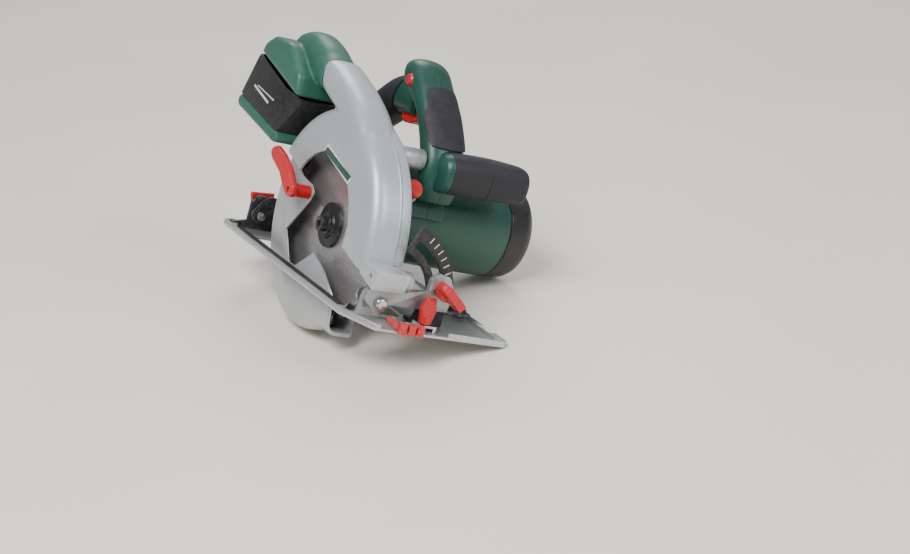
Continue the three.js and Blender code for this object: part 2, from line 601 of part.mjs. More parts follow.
function frontCasting() {
  const arm = outline([[14, -23.5], [20, -21], [42, -17], [42, -6], [49, 0], [60, -2], [68, -14], [66, -34],
    [6, -35],
    ...arcPoints(9.5, -20, -150, 6, TILT_Y, TILT_Z), [-19, -33], [-18, -23.5]]);
  const face = slabX(arm, ...CAST_X);
  const ear = rodY(9.5, 13.6, 19.4, DEPTH_X, DEPTH_Z, 18);
  const web = box(118, 127, 13.6, 19.4, -30, -14);
  const holes = [turnedX([[0, 100], [4.3, 100], [4.3, 150], [0, 150]], TILT_Y, TILT_Z),
    turnedX([[0, 100], [3.8, 100], [3.8, 150], [0, 150]], ...wingPlace),
    rodY(3.3, 0, 40, DEPTH_X, DEPTH_Z), rodY(6.3, 19.4, 24, DEPTH_X, DEPTH_Z)];
  return cut(join(face, ear, web), ...holes);
}

const barAngle = (z) => 180 - THREE.MathUtils.radToDeg(Math.asin((z - DEPTH_Z) / BAR_R));
const BAR_Y = [23, 26];
const LINK_X = [-147, -144];

function ringSector(r0, r1, from, to, steps, u, v) {
  return outline([...arcPoints(r1, from, to, steps, u, v), ...arcPoints(r0, to, from, steps, u, v)]);
}

function rearLink() {
  const bar = slabY(ringSector(BAR_R - 7.5, BAR_R + 7.5, barAngle(-34), barAngle(112), 14, DEPTH_X,
    DEPTH_Z), ...BAR_Y);
  const slot = slabY(ringSector(BAR_R - 3.4, BAR_R + 3.4, barAngle(-16), barAngle(106), 14, DEPTH_X,
    DEPTH_Z), 0, 60);
  const plate = slabX(outline([...arcPoints(9, 150, 290, 6, TILT_Y, TILT_Z), [10, -41], [BAR_Y[1], -41],
    [BAR_Y[1], -16], [4, -14], [-2, -17]]), ...LINK_X);
  const side = box(LINK_X[0], -96, ...BAR_Y, -41, -24);
  const bolt = turnedX([[0, -160], [4.3, -160], [4.3, -140], [0, -140]], TILT_Y, TILT_Z);
  return cut(join(cut(bar, slot), plate, side), bolt);
}

const clampX = DEPTH_X - Math.sqrt(BAR_R ** 2 - (CLAMP_Z - DEPTH_Z) ** 2);
function clampLever() {
  const hub = rodY(8.5, 29.3, 39, clampX, CLAMP_Z, 16);
  const arm = slabY(outline([[clampX - 7, CLAMP_Z + 4], [clampX + 7, CLAMP_Z + 4], [clampX - 8, CLAMP_Z + 46],
    [clampX - 20, CLAMP_Z + 44]]), 31, 38, 1.5);
  return join(hub, arm);
}
add('front_casting', frontCasting(), castGrey);
add('depth_hinge_pin', turnedY([[0, -19.5], [3, -19.5], [3, 20], [5.5, 20], [5.5, 23], [0, 23]], DEPTH_X,
  DEPTH_Z, 14),
  steel);
add('rear_link', rearLink(), darkSteel);
add('depth_lever', clampLever(), red);
add('depth_bolt', turnedY([[0, GUARD_FAR + GAP], [5.5, GUARD_FAR + GAP], [5.5, 22.5], [2.9, 22.5], [2.9,
  29], [0, 29]],
  clampX, CLAMP_Z, 14), steel);

// ---- sole plate and what stands on it ----
const WINDOW = [[-119, -19], [104, -19], [104, 41], [-119, 41]];

function soleOutline(inset) {
  const near = SOLE_NEAR + inset;
  const far = SOLE_FAR - inset;
  const rear = SOLE_REAR + inset;
  const front = SOLE_FRONT - inset;
  return outline([[rear, near + 6], [rear + 6, near], [112, near], [front, near + 18], [front, far - 4],
    [front - 4, far], [rear + 10, far], [rear, far - 10]]);
}

function solePlate() {
  const slab = slabZ(soleOutline(0), SOLE_Z, SOLE_Z + SOLE_RIM);
  const dish = slabZ(soleOutline(2.4), SOLE_TOP, 0);
  const frontOpen = box(110, FAR_AWAY, -10, 60, SOLE_TOP, 0);
  const windowHole = slabZ(outline(WINDOW), SOLE_Z - 1, 0);
  const nearStrip = box(-140, 100, SOLE_NEAR + 2, -20.5, SOLE_TOP - 0.5, SOLE_TOP + 2);
  const farFlange = box(96, 140, SOLE_FAR - 9, SOLE_FAR - 2, SOLE_TOP - 0.5, SOLE_Z + SOLE_RIM);
  const farSlot = box(104, 126, SOLE_FAR - 8, FAR_AWAY, SOLE_TOP, 0);
  const frontEar = slabX(outline([[-15, -51], [8, -51], ...arcPoints(9.7, 0, 180, 8, TILT_Y, TILT_Z)]), 107,
    112);
  const earHole = turnedX([[0, 90], [4.3, 90], [4.3, 130], [0, 130]], TILT_Y, TILT_Z);
  const flat = cut(slab, dish, frontOpen);
  return cut(join(flat, nearStrip, farFlange, frontEar), windowHole, farSlot, earHole);
}

function rearUpright() {
  const shape = outline([[-31, -46.4], [-22, -46.4], [-22, SOLE_TOP + GAP], [16, SOLE_TOP + GAP], [14, -30],
    [11, -15.5],
    [-8, -15.5], [-14, -22], [-14, -42]]);
  const plate = slabX(shape, -153, -149);
  const hole = turnedX([[0, -170], [4.3, -170], [4.3, -140], [0, -140]], TILT_Y, TILT_Z);
  return cut(join(plate, box(-153, -132, 17, 21, SOLE_TOP + GAP, -46), box(-153, -149, 12, 21,
    SOLE_TOP + GAP, -40)),
    hole);
}

const QUADRANT_X = [116, CAST_X[0] - GAP];
function quadrant() {
  const place = [TILT_Y, TILT_Z];
  const sector = ringSector(51, 77, 4, 70, 14, ...place);
  const slot = ringSector(WING_R - 4.2, WING_R + 4.2, 12, 67, 12, ...place);
  const foot = outline([[36, SOLE_TOP + GAP], [68, SOLE_TOP + GAP], [68.5, -28], [68.5, -18], [49, -22],
    [42, -30]]);
  const flange = box(106, QUADRANT_X[1], 36, 68, SOLE_TOP + GAP, -47);
  return cut(join(slabX(sector, ...QUADRANT_X), slabX(foot, ...QUADRANT_X), flange), slabX(slot, 100, 130));
}

// a moulded wing on a bolt, drawn in (across, along) and thick through
function wing(length, width, thick) {
  const shape = outline([[-width / 2 + 2, 0], [width / 2 - 2, 0], [width / 2, length * 0.5], [width / 2 - 3,
    length],
    [-width / 2 + 3, length], [-width / 2, length * 0.5]]);
  return slabY(shape, -thick / 2, thick / 2, 1.5);
}

function bevelWing() {
  const stem = turnedX([[0, 119], [3.4, 119], [3.4, 128], [7.5, 128], [7.5, 139], [0, 139]], 0, 0);
  const blade = box(134, 154, -13, 13, -4, 4);
  const tips = wing(30, 13, 8).translate(144, 0, -15).rotateX(degrees(52));
  return join(stem, blade.rotateX(degrees(-38)), tips).translate(0, ...wingPlace);
}

add('sole_plate', solePlate(), aluminium);
add('rear_upright', rearUpright(), darkSteel);
add('rear_bevel_bolt', turnedX([[0, -157], [3.8, -157], [3.8, -143.7], [4.8, -143.7], [4.8, -139.5], [0,
  -139.5]],
  TILT_Y, TILT_Z), steel);
add('rear_bevel_lever', slabX(outline([[-9, -40], [2, -40], [6, -28], [13, -17], [13, -12.5], [-13, -14.5],
  [-13, -18], [-10, -26]]), -161.5, -157.3, 1), red);
add('bevel_quadrant', quadrant(), black);
add('front_bevel_bolt', turnedX([[0, 106], [3.8, 106], [3.8, 127.4], [5.8, 127.4], [5.8, 132], [4, 133.5],
  [0, 133.5]],
  TILT_Y, TILT_Z, 18), steel);
add('bevel_wing_bolt', bevelWing(), red);

const GUIDE = [137, 40];
const STRAP_Z = -46.5;
const strapHole = turnedZ([[0, -60], [3.4, -60], [3.4, 0], [0, 0]], ...GUIDE);
const strapTop = cut(box(131, 143, 32, 50, STRAP_Z, STRAP_Z + 2), strapHole);
const strapFoot = (y) => box(131, 143, y, y + 3, SOLE_TOP + GAP, STRAP_Z + 1);
add('guide_strap', join(strapTop, strapFoot(32), strapFoot(47)), steel);
const guideStem = turnedZ([[0, -49.5], [3, -49.5], [3, -44], [6, -44], [6, -36], [0, -36]], ...GUIDE);
const guideWing = wing(22, 16, 7).rotateZ(Math.PI / 2).translate(...GUIDE, -42);
add('guide_wing_bolt', join(guideStem, guideWing), red);

const FOLD_X = 132;
add('sight_window', join(box(FOLD_X + 1, 149, 8.3, 31, -48, -46.4), box(FOLD_X + 1, 149, 8.3, 10, -48, -43),
  box(FOLD_X + 1, 149, 29.3, 31, -48, -43)), clear);
function indicator() {
  const rail = box(FOLD_X - 2, 152, 4.8, 8, -49, -43.5);
  const bar = box(149.3, 152, 4.8, 31.4, -49, -44.5);
  const teeth = [0, 1, 2].map((i) => box(150.7, 157, 6 + 9 * i, 12.5 + 9 * i, -51.8, -42));
  return join(rail, bar, ...teeth);
}
add('kerf_indicator', indicator(), red);
const CLIP_Y = 112;
const clipBlock = box(50, 80, CLIP_Y - 6, CLIP_Y + 6, SOLE_TOP + GAP, -41);
add('key_clip', cut(clipBlock, box(40, 90, CLIP_Y - 2.6, CLIP_Y + 2.6, -46, -30)), black);
const KEY_HALF = 2.2;
const keyShape = outline([[38, CLIP_Y - KEY_HALF], [89.6, CLIP_Y - KEY_HALF], [89.6, CLIP_Y - 24], [94,
  CLIP_Y - 24],
  [94, CLIP_Y + KEY_HALF], [38, CLIP_Y + KEY_HALF]]);
add('hex_key', slabZ(keyShape, -45.7, -41.3, 0.9), darkSteel);

// ---- lying pose: rolled until the lower guard's rim and the plate's far edge touch down ----
const RIM_Y = SWING_FAR - SWING_ROUND * 0.6;
const LIE_ROLL = -Math.atan2(SWING_R + SOLE_Z, SOLE_FAR - RIM_Y);
saw.rotation.x = LIE_ROLL;

const standing = new THREE.Group();
standing.add(saw);
standing.updateMatrixWorld(true);
const reach = new THREE.Box3().setFromObject(standing, true);
saw.position.set(-(reach.min.x + reach.max.x) / 2, -(reach.min.y + reach.max.y) / 2, -reach.min.z);

export default standing;
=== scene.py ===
import json
import math
import bmesh
import bpy
from mathutils import Matrix, Vector


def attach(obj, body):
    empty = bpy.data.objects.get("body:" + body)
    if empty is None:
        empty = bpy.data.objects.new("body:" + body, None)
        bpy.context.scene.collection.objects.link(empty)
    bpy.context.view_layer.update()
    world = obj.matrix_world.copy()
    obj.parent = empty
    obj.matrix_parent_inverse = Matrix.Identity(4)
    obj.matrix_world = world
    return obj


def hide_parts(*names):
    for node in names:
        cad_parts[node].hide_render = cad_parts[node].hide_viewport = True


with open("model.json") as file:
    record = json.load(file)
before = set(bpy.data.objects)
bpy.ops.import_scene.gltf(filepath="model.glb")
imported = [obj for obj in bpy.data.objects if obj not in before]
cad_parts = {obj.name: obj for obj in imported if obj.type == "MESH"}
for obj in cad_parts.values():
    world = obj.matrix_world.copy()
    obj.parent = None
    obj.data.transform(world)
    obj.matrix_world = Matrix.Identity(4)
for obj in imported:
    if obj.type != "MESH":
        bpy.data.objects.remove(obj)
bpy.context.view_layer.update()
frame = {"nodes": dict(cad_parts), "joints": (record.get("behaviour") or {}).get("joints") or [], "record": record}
mm = 0.001

# the saw's own axes: origin on the arbor, x along the cut, y from blade to motor, z square to the plate
joints = {joint["name"]: joint for joint in frame["joints"]}
arbor = Vector(joints["blade_spin"]["pos_m"])
sawX = Vector((1, 0, 0))
sawY = Vector(joints["blade_spin"]["axis"]).normalized()
sawZ = sawX.cross(sawY)
sawFrame = Matrix.Translation(arbor) @ Matrix((sawX, sawY, sawZ)).transposed().to_4x4()


# ---- shader groups ----
def addNode(tree, kind, **values):
    node = tree.nodes.new(kind)
    for name, value in values.items():
        if hasattr(node, name):
            setattr(node, name, value)
        else:
            node.inputs[name.replace("_", " ")].default_value = value
    return node


def link(tree, source, target):
    tree.links.new(source, target)


def mathNode(tree, operation, a, b=None, clamp=False):
    node = addNode(tree, "ShaderNodeMath", operation=operation, use_clamp=clamp)
    for place, value in enumerate((a, b)):
        if value is None:
            continue
        if hasattr(value, "links"):
            link(tree, value, node.inputs[place])
        else:
            node.inputs[place].default_value = value
    return node.outputs[0]


def ranged(tree, value, low, high, newLow, newHigh):
    node = addNode(tree, "ShaderNodeMapRange", clamp=True)
    link(tree, value, node.inputs["Value"])
    node.inputs["From Min"].default_value = low
    node.inputs["From Max"].default_value = high
    node.inputs["To Min"].default_value = newLow
    node.inputs["To Max"].default_value = newHigh
    return node.outputs["Result"]


def mixColours(tree, factor, first, second):
    node = addNode(tree, "ShaderNodeMix", data_type="RGBA")
    link(tree, factor, node.inputs[0])
    for place, colour in ((6, first), (7, second)):
        if hasattr(colour, "links"):
            link(tree, colour, node.inputs[place])
        else:
            node.inputs[place].default_value = (*colour[:3], 1)
    return node.outputs[2]


def newGroup(name, inputs, outputs):
    group = bpy.data.node_groups.new(name, "ShaderNodeTree")
    for label, kind, value in inputs:
        socket = group.interface.new_socket(label, in_out="INPUT", socket_type=kind)
        if value is not None:
            socket.default_value = value
    for label in outputs:
        group.interface.new_socket(label, in_out="OUTPUT", socket_type="NodeSocketFloat")
    start = group.nodes.new("NodeGroupInput")
    end = group.nodes.new("NodeGroupOutput")
    return group, start.outputs, end.inputs


def noise(tree, vector, scale, detail=2.0, roughness=0.5):
    node = addNode(tree, "ShaderNodeTexNoise", Detail=detail, Roughness=roughness)
    link(tree, vector, node.inputs["Vector"])
    if hasattr(scale, "links"):
        link(tree, scale, node.inputs["Scale"])
    else:
        node.inputs["Scale"].default_value = scale
    return node.outputs["Fac"]


def buildGrainGroup():
    group, given, out = newGroup("mouldGrain", [
        ("Vector", "NodeSocketVector", None),
        ("Size", "NodeSocketFloat", 900.0),
    ], ["Height", "Tone"])
    fine = noise(group, given["Vector"], given["Size"], 3.0, 0.6)
    broad = noise(group, given["Vector"], 22.0, 4.0, 0.55)
    link(group, ranged(group, fine, 0.3, 0.7, 0.0, 1.0), out["Height"])
    link(group, ranged(group, broad, 0.32, 0.68, 0.0, 1.0), out["Tone"])
    return group


def buildWearGroup():
    # rubbed edges and fine scratches, as one mask
    group, given, out = newGroup("wearMarks", [
        ("Vector", "NodeSocketVector", None),
        ("Edge", "NodeSocketFloat", 0.5),
        ("Scratch", "NodeSocketFloat", 0.3),
    ], ["Mask", "Scratches"])
    shape = group.nodes.new("ShaderNodeNewGeometry")
    sharp = ranged(group, shape.outputs["Pointiness"], 0.515, 0.58, 0.0, 1.0)
    broken = ranged(group, noise(group, given["Vector"], 260.0, 4.0, 0.7), 0.42, 0.62, 0.0, 1.0)
    rubbed = mathNode(group, "MULTIPLY", mathNode(group, "MULTIPLY", sharp, broken), given["Edge"])
    turned = addNode(group, "ShaderNodeMapping")
    link(group, given["Vector"], turned.inputs["Vector"])
    turned.inputs["Rotation"].default_value = (0.4, 0.9, 0.3)
    turned.inputs["Scale"].default_value = (30.0, 30.0, 1400.0)
    lines = ranged(group, noise(group, turned.outputs["Vector"], 1.0, 2.0), 0.67, 0.72, 0.0, 1.0)
    patches = ranged(group, noise(group, given["Vector"], 14.0, 2.0), 0.5, 0.66, 0.0, 1.0)
    scratched = mathNode(group, "MULTIPLY", mathNode(group, "MULTIPLY", lines, patches), given["Scratch"])
    link(group, mathNode(group, "MAXIMUM", rubbed, scratched), out["Mask"])
    link(group, scratched, out["Scratches"])
    return group


def buildDustGroup():
    # a thin film of sawdust on faces that look up
    group, given, out = newGroup("dustFilm", [
        ("Vector", "NodeSocketVector", None),
        ("Amount", "NodeSocketFloat", 0.3),
    ], ["Mask"])
    shape = group.nodes.new("ShaderNodeNewGeometry")
    split = group.nodes.new("ShaderNodeSeparateXYZ")
    link(group, shape.outputs["Normal"], split.inputs[0])
    upward = ranged(group, split.outputs["Z"], 0.2, 1.0, 0.0, 1.0)
    cloud = ranged(group, noise(group, given["Vector"], 60.0, 5.0, 0.65), 0.4, 0.75, 0.0, 1.0)
    specks = ranged(group, noise(group, given["Vector"], 1500.0, 1.0), 0.62, 0.7, 0.0, 1.0)
    film = mathNode(group, "MAXIMUM", cloud, mathNode(group, "MULTIPLY", specks, 0.8))
    link(group, mathNode(group, "MULTIPLY", mathNode(group, "MULTIPLY", upward, film), given["Amount"]),
         out["Mask"])
    return group


grainGroup = buildGrainGroup()
wearGroup = buildWearGroup()
dustGroup = buildDustGroup()
print("shader groups made")


# ---- materials ----
def useGroup(tree, group, vector, **values):
    node = addNode(tree, "ShaderNodeGroup", node_tree=group)
    link(tree, vector, node.inputs["Vector"])
    for name, value in values.items():
        node.inputs[name].default_value = value
    return node.outputs


def startMaterial(name):
    material = bpy.data.materials.new(name)
    material.use_nodes = True
    tree = material.node_tree
    shader = tree.nodes["Principled BSDF"]
    vector = tree.nodes.new("ShaderNodeTexCoord").outputs["Object"]
    return material, tree, shader, vector


def bumpFrom(tree, height, strength, distance, under=None):
    bump = addNode(tree, "ShaderNodeBump")
    bump.inputs["Strength"].default_value = strength
    bump.inputs["Distance"].default_value = distance
    link(tree, height, bump.inputs["Height"])
    if under is not None:
        link(tree, under, bump.inputs["Normal"])
    return bump.outputs["Normal"]


def makeFinish(name, look):
    material, tree, shader, vector = startMaterial(name)
    grain = useGroup(tree, grainGroup, vector, Size=look.get("grainSize", 900.0))
    wear = useGroup(tree, wearGroup, vector, Edge=look.get("edge", 0.4), Scratch=look.get("scratch", 0.25))
    dust = useGroup(tree, dustGroup, vector, Amount=look.get("dust", 0.05))
    colour = mixColours(tree, grain["Tone"], look["colour"], look["shade"])
    colour = mixColours(tree, wear["Mask"], colour, look.get("worn", look["shade"]))
    colour = mixColours(tree, dust["Mask"], colour, (0.55, 0.5, 0.42))
    link(tree, colour, shader.inputs["Base Color"])
    low, high = look["roughness"]
    rough = ranged(tree, grain["Tone"], 0.0, 1.0, low, high)
    rough = mathNode(tree, "ADD", rough, mathNode(tree, "MULTIPLY", dust["Mask"], 0.5), clamp=True)
    link(tree, rough, shader.inputs["Roughness"])
    shader.inputs["Metallic"].default_value = look.get("metallic", 0.0)
    shader.inputs["Coat Weight"].default_value = look.get("coat", 0.0)
    shader.inputs["Coat Roughness"].default_value = 0.18
    shader.inputs["Specular IOR Level"].default_value = look.get("specular", 0.5)
    normal = bumpFrom(tree, grain["Height"], look.get("grainStrength", 0.3), look.get("grainDepth", 0.00008))
    normal = bumpFrom(tree, wear["Scratches"], 0.4, -0.00006, normal)
    link(tree, normal, shader.inputs["Normal"])
    return material


def makeBrushed(name, look):
    # brushed along one axis of the saw, or in rings round the arbor; in rings the streak colour also drifts
    # lighter and darker with the angle round the arbor, a painted radial sheen
    material, tree, shader, vector = startMaterial(name)
    centred = addNode(tree, "ShaderNodeMapping", vector_type="TEXTURE")
    link(tree, vector, centred.inputs["Vector"])
    centred.inputs["Location"].default_value = arbor
    centred.inputs["Rotation"].default_value = sawFrame.to_euler()
    split = tree.nodes.new("ShaderNodeSeparateXYZ")
    link(tree, centred.outputs["Vector"], split.inputs[0])
    lines = tree.nodes.new("ShaderNodeCombineXYZ")
    if look["rings"]:
        squareX = mathNode(tree, "MULTIPLY", split.outputs["X"], split.outputs["X"])
        squareZ = mathNode(tree, "MULTIPLY", split.outputs["Z"], split.outputs["Z"])
        radius = mathNode(tree, "SQRT", mathNode(tree, "ADD", squareX, squareZ))
        # painted sheen: the angle round the arbor shifts the ring streak colour lighter and darker
        turn = mathNode(tree, "ARCTAN2", split.outputs["Z"], split.outputs["X"])
        link(tree, mathNode(tree, "MULTIPLY", radius, look["fineness"]), lines.inputs["X"])
        link(tree, mathNode(tree, "MULTIPLY", turn, 1.5), lines.inputs["Y"])
    else:
        link(tree, mathNode(tree, "MULTIPLY", split.outputs["X"], 9.0), lines.inputs["X"])
        link(tree, mathNode(tree, "MULTIPLY", split.outputs["Y"], look["fineness"]), lines.inputs["Y"])
        link(tree, mathNode(tree, "MULTIPLY", split.outputs["Z"], look["fineness"]), lines.inputs["Z"])
    brushAndSheen = noise(tree, lines.outputs["Vector"], 1.0, 3.0, 0.7)
    brushAndSheenLevel = ranged(tree, brushAndSheen, 0.3, 0.7, 0.0, 1.0)
    grain = useGroup(tree, grainGroup, vector, Size=500.0)
    wear = useGroup(tree, wearGroup, vector, Edge=0.5, Scratch=look.get("scratch", 0.5))
    dust = useGroup(tree, dustGroup, vector, Amount=look.get("dust", 0.15))
    colour = mixColours(tree, brushAndSheenLevel, look["colour"], look["shade"])
    stained = mathNode(tree, "MULTIPLY", grain["Tone"], look.get("stain", 0.35))
    colour = mixColours(tree, stained, colour, look["stainColour"])
    colour = mixColours(tree, wear["Mask"], colour, (0.85, 0.86, 0.87))
    colour = mixColours(tree, dust["Mask"], colour, (0.5, 0.46, 0.4))
    link(tree, colour, shader.inputs["Base Color"])
    low, high = look["roughness"]
    link(tree, ranged(tree, brushAndSheenLevel, 0.0, 1.0, low, high), shader.inputs["Roughness"])
    shader.inputs["Metallic"].default_value = look["metallic"]
    normal = bumpFrom(tree, brushAndSheen, look.get("depth", 0.25), 0.00008)
    normal = bumpFrom(tree, wear["Scratches"], 0.4, -0.00006, normal)
    link(tree, normal, shader.inputs["Normal"])
    return material


def makeSoftGrip(name, look):
    # soft moulding with rows of small raised dots that fade in and out
    material, tree, shader, vector = startMaterial(name)
    grain = useGroup(tree, grainGroup, vector, Size=1500.0)
    dust = useGroup(tree, dustGroup, vector, Amount=0.08)
    dots = addNode(tree, "ShaderNodeTexVoronoi", feature="F1")
    link(tree, vector, dots.inputs["Vector"])
    dots.inputs["Scale"].default_value = look["dotScale"]
    dots.inputs["Randomness"].default_value = 0.35
    dot = ranged(tree, dots.outputs["Distance"], 0.2, 0.42, 1.0, 0.0)
    colour = mixColours(tree, grain["Tone"], look["colour"], look["shade"])
    colour = mixColours(tree, mathNode(tree, "MULTIPLY", dot, 0.35), colour, look["dotColour"])
    colour = mixColours(tree, dust["Mask"], colour, (0.4, 0.37, 0.34))
    link(tree, colour, shader.inputs["Base Color"])
    low, high = look["roughness"]
    link(tree, ranged(tree, grain["Tone"], 0.0, 1.0, low, high), shader.inputs["Roughness"])
    shader.inputs["Specular IOR Level"].default_value = 0.35
    normal = bumpFrom(tree, grain["Height"], 0.35, 0.00008)
    normal = bumpFrom(tree, dot, look["dotStrength"], 0.0004, normal)
    link(tree, normal, shader.inputs["Normal"])
    return material


def makeClear(name):
    material, tree, shader, vector = startMaterial(name)
    grain = useGroup(tree, grainGroup, vector, Size=300.0)
    wear = useGroup(tree, wearGroup, vector, Edge=0.6, Scratch=0.8)
    colour = mixColours(tree, wear["Mask"], (0.8, 0.84, 0.84), (0.6, 0.63, 0.64))
    link(tree, colour, shader.inputs["Base Color"])
    link(tree, ranged(tree, grain["Tone"], 0.0, 1.0, 0.06, 0.22), shader.inputs["Roughness"])
    shader.inputs["Transmission Weight"].default_value = 0.85
    shader.inputs["IOR"].default_value = 1.46
    link(tree, bumpFrom(tree, wear["Scratches"], 0.3, -0.00005), shader.inputs["Normal"])
    return material


finishes = {
    "silverPaint": dict(colour=(0.50, 0.545, 0.575), shade=(0.44, 0.48, 0.51), worn=(0.62, 0.64, 0.66),
                        roughness=(0.32, 0.42), metallic=0.35, coat=0.25, grainSize=1400.0,
                        grainStrength=0.12, edge=0.5, scratch=0.2),
    "castAlloy": dict(colour=(0.42, 0.44, 0.45), shade=(0.32, 0.34, 0.35), worn=(0.62, 0.63, 0.64),
                      roughness=(0.42, 0.6), metallic=0.8, grainSize=700.0, grainStrength=0.5,
                      grainDepth=0.00015, edge=0.8),
    "brightSteel": dict(colour=(0.66, 0.67, 0.68), shade=(0.5, 0.51, 0.53), worn=(0.8, 0.8, 0.8),
                        roughness=(0.16, 0.3), metallic=1.0, grainSize=1200.0, grainStrength=0.15),
    "blackSteel": dict(colour=(0.022, 0.023, 0.026), shade=(0.04, 0.041, 0.044), worn=(0.25, 0.25, 0.26),
                       roughness=(0.32, 0.5), metallic=0.5, grainSize=1100.0, grainStrength=0.35, edge=0.7),
    "darkGreen": dict(colour=(0.008, 0.066, 0.046), shade=(0.007, 0.059, 0.041), worn=(0.06, 0.16, 0.12),
                      roughness=(0.34, 0.44), grainSize=1600.0, grainStrength=0.3, edge=0.35),
    "paleGreen": dict(colour=(0.026, 0.118, 0.082), shade=(0.023, 0.107, 0.074), worn=(0.12, 0.26, 0.2),
                      roughness=(0.34, 0.44), grainSize=1600.0, grainStrength=0.3, edge=0.4, dust=0.08),
    "blackPlastic": dict(colour=(0.009, 0.009, 0.010), shade=(0.012, 0.012, 0.013), worn=(0.09, 0.09, 0.09),
                         roughness=(0.34, 0.48), grainSize=1300.0, grainStrength=0.5,
                         grainDepth=0.00012, edge=0.5),
    "redPlastic": dict(colour=(0.56, 0.014, 0.018), shade=(0.52, 0.012, 0.016), worn=(0.75, 0.22, 0.2),
                       roughness=(0.26, 0.38), grainSize=1500.0, grainStrength=0.15, edge=0.4),
    "whitePrint": dict(colour=(0.78, 0.79, 0.78), shade=(0.68, 0.69, 0.68), worn=(0.4, 0.4, 0.4),
                       roughness=(0.35, 0.5), grainSize=900.0, grainStrength=0.1),
    "copperBars": dict(colour=(0.62, 0.28, 0.16), shade=(0.45, 0.2, 0.12), roughness=(0.3, 0.45),
                       metallic=1.0, grainSize=600.0),
    "pressedBrass": dict(colour=(0.62, 0.45, 0.2), shade=(0.5, 0.36, 0.16), roughness=(0.25, 0.4),
                         metallic=1.0, grainSize=800.0),
    "carbonBlock": dict(colour=(0.03, 0.03, 0.033), shade=(0.05, 0.05, 0.05), roughness=(0.5, 0.7),
                        grainSize=1500.0),
    "ironStack": dict(colour=(0.16, 0.16, 0.165), shade=(0.1, 0.1, 0.105), roughness=(0.4, 0.55),
                      metallic=0.8, grainSize=400.0),
}
materials = {name: makeFinish(name, look) for name, look in finishes.items()}
materials["bladeSteel"] = makeBrushed("bladeSteel", dict(
    rings=True, fineness=2600.0, colour=(0.54, 0.53, 0.52), shade=(0.36, 0.35, 0.35),
    stainColour=(0.34, 0.27, 0.24), stain=0.2, roughness=(0.28, 0.40), metallic=0.82, scratch=0.4))
materials["bareAluminium"] = makeBrushed("bareAluminium", dict(
    rings=False, fineness=1500.0, colour=(0.60, 0.61, 0.62), shade=(0.50, 0.51, 0.52),
    stainColour=(0.42, 0.43, 0.44), roughness=(0.3, 0.42), metallic=0.75, depth=0.12))
materials["guardAluminium"] = makeBrushed("guardAluminium", dict(
    rings=True, fineness=900.0, colour=(0.56, 0.575, 0.59), shade=(0.49, 0.505, 0.52),
    stainColour=(0.44, 0.45, 0.46), roughness=(0.34, 0.44), metallic=0.55, depth=0.06))
materials["softGrip"] = makeSoftGrip("softGrip", dict(
    colour=(0.019, 0.019, 0.024), shade=(0.024, 0.024, 0.030), dotColour=(0.008, 0.008, 0.010),
    dotScale=520.0, dotStrength=0.35, roughness=(0.5, 0.66)))
materials["clearPlastic"] = makeClear("clearPlastic")

slotMaterials = {
    "silver_paint": "silverPaint", "blade_steel": "bladeSteel", "bright_steel": "brightSteel",
    "black_steel": "blackSteel", "bare_aluminium": "bareAluminium", "cast_alloy": "castAlloy",
    "green_plastic": "darkGreen", "pale_green_plastic": "paleGreen", "black_plastic": "blackPlastic",
    "soft_grip": "softGrip", "red_plastic": "redPlastic", "clear_plastic": "clearPlastic",
    "copper": "copperBars", "brass": "pressedBrass", "carbon": "carbonBlock", "laminated_iron": "ironStack",
}
slotOf = {row["node"]: row["material_slot"] for row in frame["record"]["subparts"]}
bodyOf = {node: body for body, nodes in frame["record"]["behaviour"]["bodies"].items() for node in nodes}
for node, shown in frame["nodes"].items():
    shown.data.materials.clear()
    shown.data.materials.append(materials[slotMaterials[slotOf[node]]])
print("materials made:", len(materials))


# ---- ways of working ----
def pick(obj):
    if bpy.context.object and bpy.context.object.mode != "OBJECT":
        bpy.ops.object.mode_set(mode="OBJECT")
    bpy.ops.object.select_all(action="DESELECT")
    obj.select_set(True)
    bpy.context.view_layer.objects.active = obj


def applyModifier(obj, kind, **values):
    pick(obj)
    modifier = obj.modifiers.new(kind.lower(), kind)
    for name, value in values.items():
        setattr(modifier, name, value)
    bpy.ops.object.modifier_apply(modifier=modifier.name)
    return obj


def carve(obj, *cutters, how="DIFFERENCE"):
    for cutter in cutters:
        applyModifier(obj, "BOOLEAN", operation=how, solver="MANIFOLD", object=cutter)
        bpy.data.objects.remove(cutter)
    return obj


def fuse(obj, *others):
    return carve(obj, *others, how="UNION")


def block(x0, x1, y0, y1, z0, z1):
    bpy.ops.object.select_all(action="DESELECT")
    middle = ((x0 + x1) / 2 * mm, (y0 + y1) / 2 * mm, (z0 + z1) / 2 * mm)
    bpy.ops.mesh.primitive_cube_add(size=1, location=middle)
    obj = bpy.context.object
    obj.scale = ((x1 - x0) * mm, (y1 - y0) * mm, (z1 - z0) * mm)
    bpy.ops.object.transform_apply(location=True, rotation=True, scale=True)
    return obj


def rodAlongY(radius, y0, y1, x=0, z=0, sides=96):
    bpy.ops.object.select_all(action="DESELECT")
    bpy.ops.mesh.primitive_cylinder_add(
        vertices=sides, radius=radius * mm, depth=(y1 - y0) * mm,
        location=(x * mm, (y0 + y1) / 2 * mm, z * mm), rotation=(math.pi / 2, 0, 0))
    bpy.ops.object.transform_apply(location=True, rotation=True, scale=True)
    return bpy.context.object


